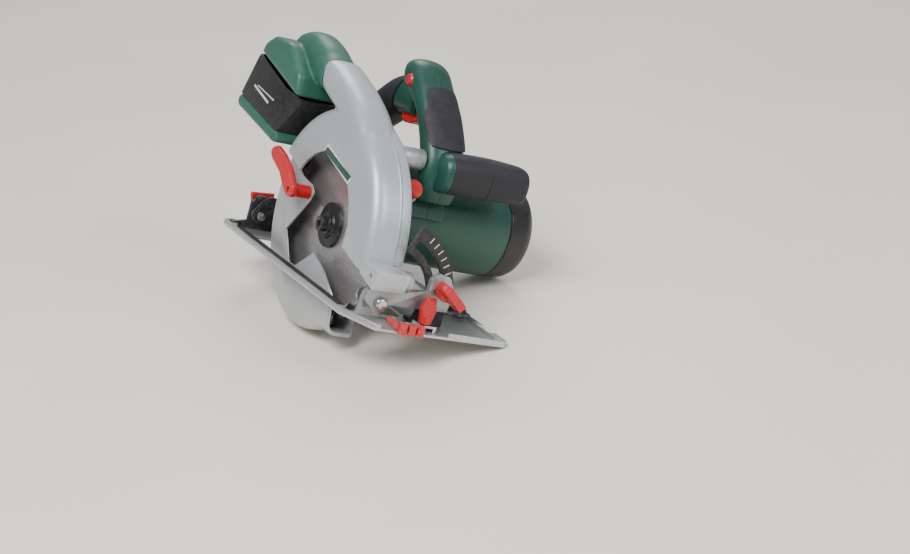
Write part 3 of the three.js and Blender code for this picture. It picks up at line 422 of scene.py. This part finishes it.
def prism(points, y0, y1, plane="xz"):
    # a flat outline, filled and extruded
    toPoint = {
        "xz": lambda u, v, w: (u, w, v),
        "yz": lambda u, v, w: (w, u, v),
        "xy": lambda u, v, w: (u, v, w),
    }
    corners = [Vector(toPoint[plane](u, v, y0)) * mm for u, v in points]
    mesh = bpy.data.meshes.new("outline")
    mesh.from_pydata(corners, [], [list(range(len(corners)))])
    obj = bpy.data.objects.new("outline", mesh)
    bpy.context.scene.collection.objects.link(obj)
    pick(obj)
    bpy.ops.object.mode_set(mode="EDIT")
    bpy.ops.mesh.select_all(action="SELECT")
    push = Vector(toPoint[plane](0, 0, y1 - y0)) * mm
    bpy.ops.mesh.extrude_region_move(TRANSFORM_OT_translate={"value": push})
    bpy.ops.mesh.select_all(action="SELECT")
    bpy.ops.mesh.normals_make_consistent(inside=False)
    bpy.ops.object.mode_set(mode="OBJECT")
    return obj


def turned(profile, x, z, sides=96):
    # a profile of [radius, y] spun round an axis along y
    mesh = bpy.data.meshes.new("profile")
    corners = [Vector((x + r, y, z)) * mm for r, y in profile]
    mesh.from_pydata(corners, [(i, i + 1) for i in range(len(corners) - 1)], [])
    obj = bpy.data.objects.new("profile", mesh)
    bpy.context.scene.collection.objects.link(obj)
    pick(obj)
    bpy.ops.object.mode_set(mode="EDIT")
    bpy.ops.mesh.select_all(action="SELECT")
    bpy.ops.mesh.spin(steps=sides, angle=2 * math.pi, center=Vector((x, 0, z)) * mm, axis=(0, 1, 0))
    bpy.ops.mesh.select_all(action="SELECT")
    bpy.ops.mesh.remove_doubles(threshold=1e-6)
    bpy.ops.mesh.normals_make_consistent(inside=False)
    bpy.ops.object.mode_set(mode="OBJECT")
    return obj


def smoothStations(stations, steps):
    # more stations on a smooth curve through the given ones
    finer = []
    last = len(stations) - 1
    for i in range(last):
        before, a, b, after = (Vector(stations[k]) for k in (max(i - 1, 0), i, i + 1, min(i + 2, last)))
        for step in range(steps):
            t = step / steps
            finer.append(0.5 * (2 * a + (b - before) * t + (2 * before - 5 * a + 4 * b - after) * t * t
                                + (3 * a - before - 3 * b + after) * t ** 3))
    finer.append(Vector(stations[-1]))
    return finer


def ringPoints(centre, side, up, a, b, power, sides):
    points = []
    for i in range(sides):
        turn = 2 * math.pi * (i + 0.5) / sides
        across = math.copysign(abs(math.cos(turn)) ** (2 / power), math.cos(turn))
        along = math.copysign(abs(math.sin(turn)) ** (2 / power), math.sin(turn))
        points.append((centre + side * a * across + up * b * along) * mm)
    return points


def loft(name, rings):
    mesh = bpy.data.meshes.new(name)
    shape = bmesh.new()
    rows = [[shape.verts.new(point) for point in ring] for ring in rings]
    for low, high in zip(rows, rows[1:]):
        for i in range(len(low)):
            j = (i + 1) % len(low)
            shape.faces.new((low[i], low[j], high[j], high[i]))
    shape.faces.new(rows[0][::-1])
    shape.faces.new(rows[-1])
    bmesh.ops.recalc_face_normals(shape, faces=shape.faces)
    shape.to_mesh(mesh)
    shape.free()
    obj = bpy.data.objects.new(name, mesh)
    bpy.context.scene.collection.objects.link(obj)
    return obj


def barAlong(stations, y, grow=0, power=2.6, sides=48, steps=6):
    # a rounded bar in the plane y: stations of [x, z, half height, half width]
    finer = smoothStations([(*station,) for station in stations], steps)
    side = Vector((0, 1, 0))
    rings = []
    for i, (x, z, half, width) in enumerate(finer):
        before, after = finer[max(i - 1, 0)], finer[min(i + 1, len(finer) - 1)]
        run = Vector((after[0] - before[0], 0, after[1] - before[1])).normalized()
        centre = Vector((x, y, z))
        rings.append(ringPoints(centre, side, run.cross(side), width + grow, half + grow, power, sides))
    return loft("bar", rings)


def barAcross(stations, grow=0, power=2.6, sides=64, steps=6):
    # a rounded bar along y: stations of [y, x, z, half along x, half along z]
    finer = smoothStations([(*station,) for station in stations], steps)
    side, up = Vector((1, 0, 0)), Vector((0, 0, 1))
    rings = [ringPoints(Vector((x, y, z)), side, up, a + grow, b + grow, power, sides)
             for y, x, z, a, b in finer]
    return loft("bar", rings)


def melt(obj, voxel, rounds, factor=0.5):
    # one even skin over all the joined volumes, then eased
    pick(obj)
    obj.data.remesh_voxel_size = voxel * mm
    obj.data.remesh_voxel_adaptivity = 0
    bpy.ops.object.voxel_remesh()
    return applyModifier(obj, "SMOOTH", factor=factor, iterations=rounds) if rounds else obj


def softenEdges(obj, width, segments=2, angle=32):
    if width:
        applyModifier(obj, "BEVEL", width=width * mm, segments=segments, limit_method="ANGLE",
                      angle_limit=math.radians(angle), use_clamp_overlap=True, miter_outer="MITER_ARC")
    pick(obj)
    bpy.ops.object.shade_smooth_by_angle(angle=math.radians(angle))
    return obj


def copyNode(node):
    # a CAD node's mesh with its loose triangles merged into whole faces
    mesh = frame["nodes"][node].data.copy()
    obj = bpy.data.objects.new("copy", mesh)
    bpy.context.scene.collection.objects.link(obj)
    pick(obj)
    bpy.ops.object.mode_set(mode="EDIT")
    bpy.ops.mesh.select_all(action="SELECT")
    bpy.ops.mesh.remove_doubles(threshold=1e-6)
    bpy.ops.mesh.dissolve_limited(angle_limit=math.radians(0.5))
    bpy.ops.object.mode_set(mode="OBJECT")
    obj.data.transform(sawFrame.inverted())
    return obj


def settle(obj, name, node, material, stands=True):
    # puts a piece modelled in the saw's axes into the frame and ties it to its body
    obj.data.transform(sawFrame)
    obj.name = name
    obj.data.name = name
    obj.data.materials.clear()
    obj.data.materials.append(materials[material])
    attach(obj, bodyOf[node])
    if stands:
        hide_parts(node)
    return obj


def arc(radius, start, end, steps, x=0, z=0):
    turns = [math.radians(start + (end - start) * i / steps) for i in range(steps + 1)]
    return [(x + radius * math.cos(turn), z + radius * math.sin(turn)) for turn in turns]


far = 400
gap = 0.3  # between pieces that touch


# ---- camera, light and floor ----
view = dict(eye=(1.37184, -0.75382, 0.29938), back=(0.81937, -0.53828, 0.19716),
            up=(-0.31330, -0.13241, 0.94038), lens=67.25, floorSize=9.0, floorColour=(0.90, 0.86, 0.77))


def makeCamera():
    data = bpy.data.cameras.new("camera")
    data.lens = view["lens"]
    data.sensor_width = 36
    camera = bpy.data.objects.new("camera", data)
    bpy.context.scene.collection.objects.link(camera)
    turn = sawFrame.to_3x3()
    back = (turn @ Vector(view["back"])).normalized()
    right = (turn @ Vector(view["up"])).cross(back).normalized()
    axes = Matrix((right, back.cross(right), back)).transposed().to_4x4()
    camera.matrix_world = Matrix.Translation(sawFrame @ Vector(view["eye"])) @ axes
    bpy.context.scene.camera = camera


def makeLight(name, place, size, power, colour):
    data = bpy.data.lights.new(name, "AREA")
    data.shape = "DISK"
    data.size = size
    data.energy = power
    data.color = colour
    lamp = bpy.data.objects.new(name, data)
    bpy.context.scene.collection.objects.link(lamp)
    lamp.location = place
    lamp.rotation_euler = (Vector((0, 0, 0.1)) - Vector(place)).to_track_quat("-Z", "Y").to_euler()


def makeFloor():
    bpy.ops.object.select_all(action="DESELECT")
    bpy.ops.mesh.primitive_circle_add(vertices=96, radius=view["floorSize"], fill_type="NGON")
    floor = bpy.context.object
    floor.name = "floor"
    material, tree, shader, vector = startMaterial("paleFloor")
    mottled = ranged(tree, noise(tree, vector, 3.0, 4.0), 0.3, 0.7, 0.0, 1.0)
    warm = view["floorColour"]
    link(tree, mixColours(tree, mottled, warm, [c * 0.94 for c in warm]), shader.inputs["Base Color"])
    shader.inputs["Roughness"].default_value = 0.55
    floor.data.materials.append(material)


def makeWorld():
    world = bpy.data.worlds.new("studio")
    world.use_nodes = True
    background = world.node_tree.nodes["Background"]
    background.inputs["Color"].default_value = (0.80, 0.83, 0.88, 1)
    background.inputs["Strength"].default_value = 0.46
    bpy.context.scene.world = world


makeCamera()
makeFloor()
makeWorld()
makeLight("keyLight", (0.9, -1.3, 2.2), 1.3, 74, (1.0, 0.98, 0.95))
makeLight("sideLight", (2.0, 1.1, 1.5), 1.2, 26, (0.95, 0.98, 1.0))
makeLight("backLight", (-1.6, 0.9, 1.8), 1.4, 22, (1.0, 1.0, 1.0))
print("camera, light and floor made")


# ---- upper guard ----
guard = dict(radius=109, near=-20, far=20, seam=10, fillet=12, wall=2.5, windowRadius=67,
             duct=[(-62, 129, 16, 20), (-57, 129, 16, 20), (-38, 123, 16.5, 20), (-12, 114.5, 16, 20),
                   (15, 101, 16.5, 20), (40, 82, 16, 20)],
             nose=[(104, -15), (134, -22.5), (138, -3.5), (104, -3.5)],
             lip=[(110, -16.3), (134, -22.5), (138, -3.5), (110, -3.5)],
             lipEnd=13, pin=(3.3, 126, -12), noseRadius=20, rimStart=172,
             voxel=1.3, easing=30, edge=0.45, beadRadius=1.1, beadStart=2, beadSweep=56)


def ductBar(grow, longer=False):
    stations = [(-72, 129, 16, 20)] + guard["duct"] if longer else guard["duct"]
    return barAlong(stations, 0, grow, power=3.2, steps=4)


def guardDrum(radius, y0, y1, fillet):
    drum = rodAlongY(radius, y0, y1, sides=192)
    bpy.ops.object.mode_set(mode="EDIT")
    bpy.ops.mesh.select_all(action="DESELECT")  # only the near face is picked below
    bpy.ops.object.mode_set(mode="OBJECT")
    nearest = y0 * mm + 1e-6
    for face in drum.data.polygons:
        face.select = face.center.y < nearest
    bpy.ops.object.mode_set(mode="EDIT")
    bpy.ops.mesh.select_mode(type="FACE")
    bpy.ops.mesh.region_to_loop()
    bpy.ops.mesh.bevel(offset=fillet * mm, segments=8, affect="EDGES")
    bpy.ops.object.mode_set(mode="OBJECT")
    return drum


def guardSkin():
    skin = fuse(guardDrum(guard["radius"], guard["near"], guard["far"], guard["fillet"]), ductBar(0))
    return melt(skin, guard["voxel"], guard["easing"])


def guardHollow():
    wall = guard["wall"]
    drum = guardDrum(guard["radius"] - wall, guard["near"] + wall, guard["far"] - wall, guard["fillet"] - 2)
    return fuse(drum, ductBar(-wall - 0.5, longer=True))


def openBelow():
    front = [(43, 48), (54, 35), (63, 16), (63, -4), (142, -22.7), (142, -far)]
    edge = [(-130, -far), (-130, 56.5)] + arc(guard["windowRadius"], 147, 105, 24) + front
    return prism(edge, -far, far)


def makeUpperGuard():
    beyondSeam = block(-far, far, guard["seam"] - gap, far, -far, far)
    near = carve(guardSkin(), beyondSeam, guardHollow(), openBelow())
    nose = prism(guard["nose"], guard["near"], guard["seam"] - gap)
    lip = prism(guard["lip"], guard["seam"] - 1, guard["lipEnd"])
    fuse(near, softenEdges(nose, 1.4, 3), lip)
    pinRadius, pinX, pinZ = guard["pin"]
    carve(near, rodAlongY(pinRadius, -far, far, pinX, pinZ, 32))
    softenEdges(near, guard["edge"], 2, 40)
    settle(near, "upperGuardNear", "upper_guard", "silverPaint")

    rim = arc(guard["radius"], guard["rimStart"], 0, 96)
    backEdge = rim + [(guard["radius"], -3), (40, -3)] + arc(30, 0, -180, 24) + [(-40, 12)]
    backWall = prism(backEdge, guard["seam"], guard["far"])
    back = carve(guardSkin(), block(-far, far, -far, guard["seam"], -far, far))
    ductSide = fuse(ductBar(0.5), backWall)
    carve(back, ductSide, how="INTERSECT")
    carve(back, guardHollow(), rodAlongY(guard["noseRadius"] + gap, -far, far))
    softenEdges(back, guard["edge"], 2, 40)
    settle(back, "upperGuardFar", "upper_guard_back", "silverPaint")


def makeGuardBead():
    # the raised rib beside the seam, round the front of the rim
    rib = guard["beadRadius"]
    bpy.ops.object.select_all(action="DESELECT")
    bpy.ops.mesh.primitive_circle_add(vertices=16, radius=rib * mm,
                                      location=((guard["radius"] - 0.2) * mm, 0.0075, 0))
    bpy.ops.object.transform_apply(location=True, rotation=True, scale=True)
    obj = bpy.context.object
    bpy.ops.object.mode_set(mode="EDIT")
    bpy.ops.mesh.select_all(action="SELECT")
    bpy.ops.transform.rotate(value=math.radians(guard["beadStart"]), orient_axis="Y",
                             center_override=(0, 0, 0))
    bpy.ops.mesh.spin(steps=64, angle=math.radians(guard["beadSweep"]), center=(0, 0, 0), axis=(0, 1, 0))
    bpy.ops.mesh.select_all(action="DESELECT")
    bpy.ops.mesh.select_mode(type="EDGE")
    bpy.ops.mesh.select_non_manifold()
    bpy.ops.mesh.edge_face_add()
    bpy.ops.mesh.select_all(action="SELECT")
    bpy.ops.mesh.remove_doubles(threshold=1e-7)
    bpy.ops.mesh.normals_make_consistent(inside=False)
    bpy.ops.object.mode_set(mode="OBJECT")
    softenEdges(obj, 0, angle=50)
    settle(obj, "guardSeamRib", "upper_guard", "silverPaint", stands=False)


strip = dict(corners=[(-17.6, 65.6), (-13.6, 72.5), (46.6, 55.4), (42.6, 48.8)], thick=0.5,
             shrinkX=0.965, shrinkZ=0.8, soft=0.12)


def makeLabelStrip():
    # a plain two-colour strip along the upper edge of the opening
    face = guard["near"]
    midX = sum(x for x, z in strip["corners"]) / 4
    midZ = sum(z for x, z in strip["corners"]) / 4
    inner = [(midX + (x - midX) * strip["shrinkX"], midZ + (z - midZ) * strip["shrinkZ"])
             for x, z in strip["corners"]]
    under = prism(strip["corners"], face - strip["thick"] * 0.6, face + 0.2)
    settle(softenEdges(under, strip["soft"]), "stripBorder", "upper_guard", "whitePrint", stands=False)
    top = prism(inner, face - strip["thick"], face)
    settle(softenEdges(top, strip["soft"]), "stripFace", "upper_guard", "darkGreen", stands=False)


makeUpperGuard()
makeGuardBead()
makeLabelStrip()
print("upper guard made")

# ---- main handle ----
handle = dict(y=68, split=0.22, skin=2.2, gripRear=-134, voxel=1.2, easing=22,
              saddle=dict(grow=5, half=19, rear=-62, front=46, foot=30, top=200),
              bay=dict(rear=-44, front=-6, half=11, foot=118, top=141),
              triggerSlot=dict(rear=-42, front=-4, half=8.3, foot=90, top=124),
              lockBore=dict(radius=6.8, x=-18, z=147), cordBore=dict(radius=5.5, rear=-170, front=-128, z=50),
              gripEdge=[(-28, 162), (-39, 134), (-52, 96)],
              softAhead=[(10, 146), (23, 131), (28, 119), (43, 104), (50, 100), (120, 100), (120, 180),
                         (10, 180)],
              leg=[(-37, 152, 12, 18), (-32, 152.5, 15, 20), (-20, 151, 16, 21), (-8, 143, 15, 21),
                   (8, 131, 13, 21), (22, 117, 13, 21), (36, 100, 14, 21), (45, 84, 15, 21), (47, 66, 14, 21),
                   (44, 50, 12, 20)],
              grip=[(-8, 131, 17, 19), (-30, 132, 18.5, 19.5), (-46, 129.5, 17.5, 19.5), (-62, 121, 17, 19),
                    (-90, 102, 16, 18), (-118, 84, 16, 18), (-138, 70, 17, 19), (-146, 60, 15, 18),
                    (-150, 52, 10, 16)],
              tail=[(-150, 58, 9, 16), (-142, 49, 11, 17), (-120, 43, 11, 17), (-90, 41, 12, 17),
                    (-60, 42, 14, 18), (-34, 46, 14, 18)])
motor = dict(x=-6.6, z=22.2, radius=48, start=48.5, seam=168, end=198.5, capRadius=47)
strut = dict(x=44, z=84, end=46.5, bore=10.4)
second = dict(bar=[(57, 58, 78, 12, 14), (60, 59, 78, 17, 17.5), (70, 60, 79.5, 18.5, 19),
                   (106, 60, 80.5, 18.5, 19.5), (132, 60, 80.5, 18.5, 18.5), (146, 60, 80, 17.5, 17.5),
                   (151, 60, 79.5, 13, 13)], cap=65, seam=106)


def motorOutline(radius, steps=96):
    flat = arc(radius, 78, 32, 1, motor["x"], motor["z"])
    return flat + arc(radius, 26, -274, steps, motor["x"], motor["z"])


def legBar(grow=0):
    return barAlong(handle["leg"], handle["y"], grow)


def gripBar(grow=0):
    return barAlong(handle["grip"], handle["y"], grow)


def tailBar(grow=0):
    return barAlong(handle["tail"], handle["y"], grow)


def secondBar(grow=0):
    return barAcross(second["bar"], grow)


def strutBore():
    return rodAlongY(strut["bore"], 20, strut["end"] + gap, strut["x"], strut["z"], 48)


def pocket(space):
    y, half = handle["y"], space["half"]
    return block(space["rear"], space["front"], y - half, y + half, space["foot"], space["top"])


def cordBore():
    # cut along x, where the inlet bush goes
    place = handle["cordBore"]
    bore = rodAlongY(place["radius"], place["rear"], place["front"], 0, 0, 32)
    move = Matrix.Translation((0, handle["y"] * mm, place["z"] * mm))
    bore.data.transform(move @ Matrix.Rotation(-math.pi / 2, 4, "Z"))
    return bore


def handleSaddle():
    y, seat = handle["y"], handle["saddle"]
    saddle = prism(motorOutline(motor["radius"] + seat["grow"]), y - seat["half"], y + seat["half"])
    reach = block(seat["rear"], seat["front"], 0, 200, seat["foot"], seat["top"])
    return carve(saddle, reach, how="INTERSECT")


def handleBody():
    edge = [(x + gap, z) for x, z in handle["gripEdge"]]
    saddle = handleSaddle()
    front = carve(gripBar(), prism(edge + [(far, 0), (far, 200)], 0, 200), how="INTERSECT")
    rear = carve(gripBar(), block(-far, handle["gripRear"] - gap, 0, 200, 0, 200), how="INTERSECT")
    body = fuse(legBar(), gripBar(-handle["skin"]), front, rear, tailBar(), saddle)
    melt(body, handle["voxel"], handle["easing"])
    lock = handle["lockBore"]
    lockHole = rodAlongY(lock["radius"], 0, 200, lock["x"], lock["z"], 48)
    barrel = prism(motorOutline(motor["radius"] + gap), 0, motor["seam"])
    return carve(body, pocket(handle["bay"]), pocket(handle["triggerSlot"]), lockHole, barrel, secondBar(gap),
                 strutBore(), cordBore())


def makeHandle():
    y, split = handle["y"], handle["split"]
    sides = (("handleNear", "handle_near", block(-far, far, y - split, far, -far, far)),
             ("handleFar", "handle_far", block(-far, far, -far, y + split, -far, far)))
    for name, node, other in sides:
        half = carve(handleBody(), other)
        softenEdges(half, 0.35, 2, 48)
        settle(half, name, node, "darkGreen")


def makeRearGrip():
    rear = handle["gripRear"]
    length = prism(handle["gripEdge"] + [(-60, 0), (rear, 0), (rear, 200), (-28, 200)], 0, 200)
    skin = carve(gripBar(0.6), length, how="INTERSECT")
    melt(skin, 1.0, 3)
    carve(skin, gripBar(gap - handle["skin"]), tailBar(gap), legBar(gap))
    softenEdges(skin, 0.5, 3, 50)
    settle(skin, "rearSoftGrip", "rear_soft_grip", "softGrip")


def makeFrontGrip():
    skin = barAlong(handle["leg"][3:9], handle["y"], 1.8)
    ahead = prism(handle["softAhead"], -far, far)
    carve(skin, ahead, how="INTERSECT")
    melt(skin, 0.9, 3)
    carve(skin, legBar(0.25), secondBar(gap), strutBore())
    softenEdges(skin, 0.4, 3, 50)
    settle(skin, "frontSoftGrip", "front_soft_grip", "softGrip")


def makeSecondHandle():
    parts = (("secondHandleCap", "second_handle_cap", -far, second["cap"], "darkGreen"),
             ("secondHandleRoot", "second_handle_root", second["cap"] + gap, second["seam"], "softGrip"),
             ("secondHandleEnd", "second_handle_end", second["seam"] + gap, far, "softGrip"))
    for name, node, start, end, material in parts:
        part = carve(secondBar(), block(-far, far, start, end, -far, far), how="INTERSECT")
        softenEdges(part, 0.9 if material == "softGrip" else 0.5, 3, 45)
        settle(part, name, node, material)


makeHandle()
makeRearGrip()
makeFrontGrip()
makeSecondHandle()
print("handles made")


# ---- motor housing ----
housing = dict(wall=3, edge=1.2, floor=11, bearing=13.3)
vents = dict(rows=3, pitch=9, half=1.8, reach=26, taper=3, clear=15.6, start=190)


def makeMotorHousing():
    shell = prism(motorOutline(motor["radius"]), motor["start"], motor["seam"])
    softenEdges(shell, housing["edge"], 3, 40)
    start = motor["start"]
    barrel = motorOutline(motor["radius"] - housing["wall"])
    inside = prism(barrel, start + housing["floor"], motor["seam"] + 5)
    bearing = rodAlongY(housing["bearing"], start - 2, start + 15, motor["x"], motor["z"])
    carve(shell, inside, bearing)
    pick(shell)
    bpy.ops.object.shade_smooth_by_angle(angle=math.radians(30))
    settle(shell, "motorHousing", "motor_housing", "darkGreen")


def makeMotorCap():
    radius, start, end = motor["capRadius"], motor["seam"] + gap, motor["end"]
    profile = [(radius - 3, start), (radius + 0.4, start), (radius + 1, start + 0.8),
               (radius + 0.9, start + 3), (radius, 186), (radius - 0.8, 190), (radius - 3.2, 194.6),
               (radius - 6.4, 197.4), (radius - 11, end), (0, end), (0, 194.5), (11.3, 194.5), (11.3, 176),
               (15, 176), (15, 193), (radius - 11, 193), (radius - 4.5, 187), (radius - 3, start)]
    cap = turned(profile, motor["x"], motor["z"], 128)
    carve(cap, prism(motorOutline(motor["radius"]), start - 5, end + 5), how="INTERSECT")
    for i in range(-vents["rows"], vents["rows"] + 1):
        # the middle rows stop short of the bearing seat
        half, clear = vents["reach"] - vents["taper"] * abs(i), vents["clear"]
        spans = ((-half, -clear), (clear, half)) if abs(i) < 2 else ((-half, half),)
        low = motor["z"] + vents["pitch"] * i - vents["half"]
        for x0, x1 in spans:
            slot = block(motor["x"] + x0, motor["x"] + x1, vents["start"], far, low, low + 2 * vents["half"])
            carve(cap, slot)
    softenEdges(cap, 0.35, 2, 40)
    settle(cap, "motorCap", "motor_end_cap", "blackPlastic")


makeMotorHousing()
makeMotorCap()
print("motor housing made")


# ---- dust box ----
dust = dict(near=-33, far=21, voxel=1.2,
            hood=[(-181, 123), (-174, 135.5), (-158, 144.5), (-122, 145), (-84, 121), (-80, 99.5)],
            inside=[(-177, 100), (-171, 136), (-157, 142), (-123, 141), (-88, 118), (-84, 90)],
            elbow=[(-62.6, 129, 16, 20), (-67, 129, 16.3, 20), (-80, 132.5, 18, 19), (-95, 137, 20, 18.5),
                   (-118, 141, 20.5, 18), (-138, 138, 18, 17), (-150, 133, 12, 13)],
            stripes=[((-173, 90), (-133, 81), 2.4), ((-165, 91.5), (-122, 86), 1.1)])


def makeDustHood():
    hood = softenEdges(prism(dust["hood"], dust["near"], dust["far"]), 5.5, 4, 30)
    elbow = barAlong(dust["elbow"], 0, steps=4)
    fuse(hood, elbow)
    melt(hood, dust["voxel"], 6)
    passage = barAlong([(-50, 127, 14, 16.5)] + dust["elbow"][2:6], 0, -3, steps=4)
    inside = prism(dust["inside"], dust["near"] + 4, dust["far"] - 4)
    carve(hood, inside, passage, block(-186, -78, -60, 60, 0, 99.4), block(-62.5, 0, -60, 60, 0, 200))
    below = prism([(-200, 127.3), (-60, 94.4), (-60, 0), (-200, 0)], -60, 60)
    carve(hood, below)
    softenEdges(hood, 0.4, 2, 45)
    settle(hood, "dustHood", "dust_lid", "paleGreen")


def makeDustBin():
    box = softenEdges(copyNode("dust_box"), 0.6, 3)
    settle(box, "dustBin", "dust_box", "blackPlastic")
    foot = softenEdges(copyNode("dust_box_foot"), 1.2, 4)
    settle(foot, "dustBinFoot", "dust_box_foot", "paleGreen")


def makeStripes():
    # two plain raised strokes on the near face of the box
    for name, ((x0, z0), (x1, z1), width) in zip(("stripeLong", "stripeShort"), dust["stripes"]):
        run = Vector((x1 - x0, 0, z1 - z0)).normalized()
        half = run.cross(Vector((0, 1, 0))) * width / 2
        corners = [(x0 + half.x, z0 + half.z), (x1 + half.x, z1 + half.z), (x1 - half.x, z1 - half.z),
                   (x0 - half.x, z0 - half.z)]
        stroke = prism(corners, dust["near"] - 0.25, dust["near"] + 0.2)
        settle(softenEdges(stroke, 0.1), name, "dust_box", "whitePrint", stands=False)


makeDustHood()
makeDustBin()
makeStripes()
print("dust box made")


# ---- blade ----
def makeBlade():
    blade = softenEdges(copyNode("saw_blade"), 0.12, 1, 40)
    settle(blade, "sawBlade", "saw_blade", "bladeSteel")
    for name, node in (("bladeFlange", "outer_flange"), ("bladeBolt", "blade_bolt")):
        settle(softenEdges(copyNode(node), 0.35, 3, 25), name, node, "blackSteel")


makeBlade()
print("blade made")


# ---- smaller pieces: edges broken and moulded forms eased ----
edged = {
    "lower_guard": (0.4, "guardAluminium"), "gear_case": (0.6, "castAlloy"),
    "front_casting": (0.8, "castAlloy"), "sole_plate": (0.35, "bareAluminium"),
    "rear_upright": (0.4, "blackSteel"), "rear_link": (0.3, "blackSteel"),
    "bevel_quadrant": (0.4, "blackPlastic"), "guide_strap": (0.3, "brightSteel"),
    "key_clip": (0.4, "blackPlastic"), "hex_key": (0.3, "blackSteel"), "strut_tube": (0.25, "castAlloy"),
    "front_bevel_bolt": (0.4, "brightSteel"), "rear_bevel_bolt": (0.4, "brightSteel"),
    "depth_hinge_pin": (0.4, "brightSteel"), "depth_bolt": (0.4, "brightSteel"),
    "kerf_indicator": (0.35, "redPlastic"), "cord_bush": (0.3, "softGrip"),
    "rear_bevel_lever": (0.8, "redPlastic"), "sight_window": (0.2, "clearPlastic"),
}
eased = {
    "guard_lever": (0.7, 10), "bevel_wing_bolt": (0.7, 14), "guide_wing_bolt": (0.6, 10),
    "depth_lever": (0.7, 6), "trigger": (0.6, 6), "lock_off_button": (0.6, 5), "spindle_lock": (0.6, 3),
}


def camel(node):
    first, *rest = node.split("_")
    return first + "".join(word.capitalize() for word in rest)


def makeSmallPieces():
    for node, (width, material) in edged.items():
        settle(softenEdges(copyNode(node), width, 2, 30), camel(node), node, material)
    for node, (voxel, rounds) in eased.items():
        piece = melt(copyNode(node), voxel, rounds)
        settle(softenEdges(piece, 0, angle=40), camel(node), node, "redPlastic")


scale = dict(y=-4, z=-34, front=120.7, ribs=9, ribFrom=20, ribTo=68, ribInner=52.0, ribOuter=57.2,
             ribWidth=1.6, ribRaise=0.2, ticks=7, tickFrom=22, tickStep=6, tickInner=69.5, tickOuter=75.5,
             tickWidth=0.9, tickRaise=0.15)


def gather(pieces):
    bpy.ops.object.select_all(action="DESELECT")
    for piece in pieces:
        piece.select_set(True)
    bpy.context.view_layer.objects.active = pieces[0]
    bpy.ops.object.join()
    return pieces[0]


def spoke(inner, outer, turn, width, x0, x1):
    # a thin raised bar pointing out from the bevel hinge
    out = Vector((math.cos(math.radians(turn)), math.sin(math.radians(turn))))
    side = Vector((-out.y, out.x)) * width / 2
    centre = Vector((scale["y"], scale["z"]))
    corners = [centre + out * inner + side, centre + out * outer + side,
               centre + out * outer - side, centre + out * inner - side]
    return prism(corners, x0, x1, plane="yz")


def makeScale():
    # stiffening ribs and angle ticks on the bevel quadrant
    front = scale["front"]
    step = (scale["ribTo"] - scale["ribFrom"]) / (scale["ribs"] - 1)
    ribs = [spoke(scale["ribInner"], scale["ribOuter"], scale["ribFrom"] + step * i, scale["ribWidth"],
                  front - 0.3, front + scale["ribRaise"]) for i in range(scale["ribs"])]
    settle(softenEdges(gather(ribs), 0.12), "quadrantRibs", "bevel_quadrant", "blackPlastic", stands=False)
    ticks = [spoke(scale["tickInner"], scale["tickOuter"], scale["tickFrom"] + scale["tickStep"] * i,
                   scale["tickWidth"], front - 0.2, front + scale["tickRaise"])
             for i in range(scale["ticks"])]
    settle(gather(ticks), "quadrantTicks", "bevel_quadrant", "whitePrint", stands=False)


ridge = dict(rear=-138, front=98, near=-31, count=4, pitch=2.5, top=-48.3)


def makeRidges():
    # dark ridged strip along the near edge of the sole plate
    rows = [block(ridge["rear"], ridge["front"], ridge["near"] + ridge["pitch"] * i,
                  ridge["near"] + ridge["pitch"] * i + 1.5, ridge["top"] - 0.2, ridge["top"] + 0.9)
            for i in range(ridge["count"])]
    settle(softenEdges(gather(rows), 0.3), "soleRidges", "sole_plate", "blackPlastic", stands=False)


makeSmallPieces()
makeScale()
makeRidges()
print("small pieces made")
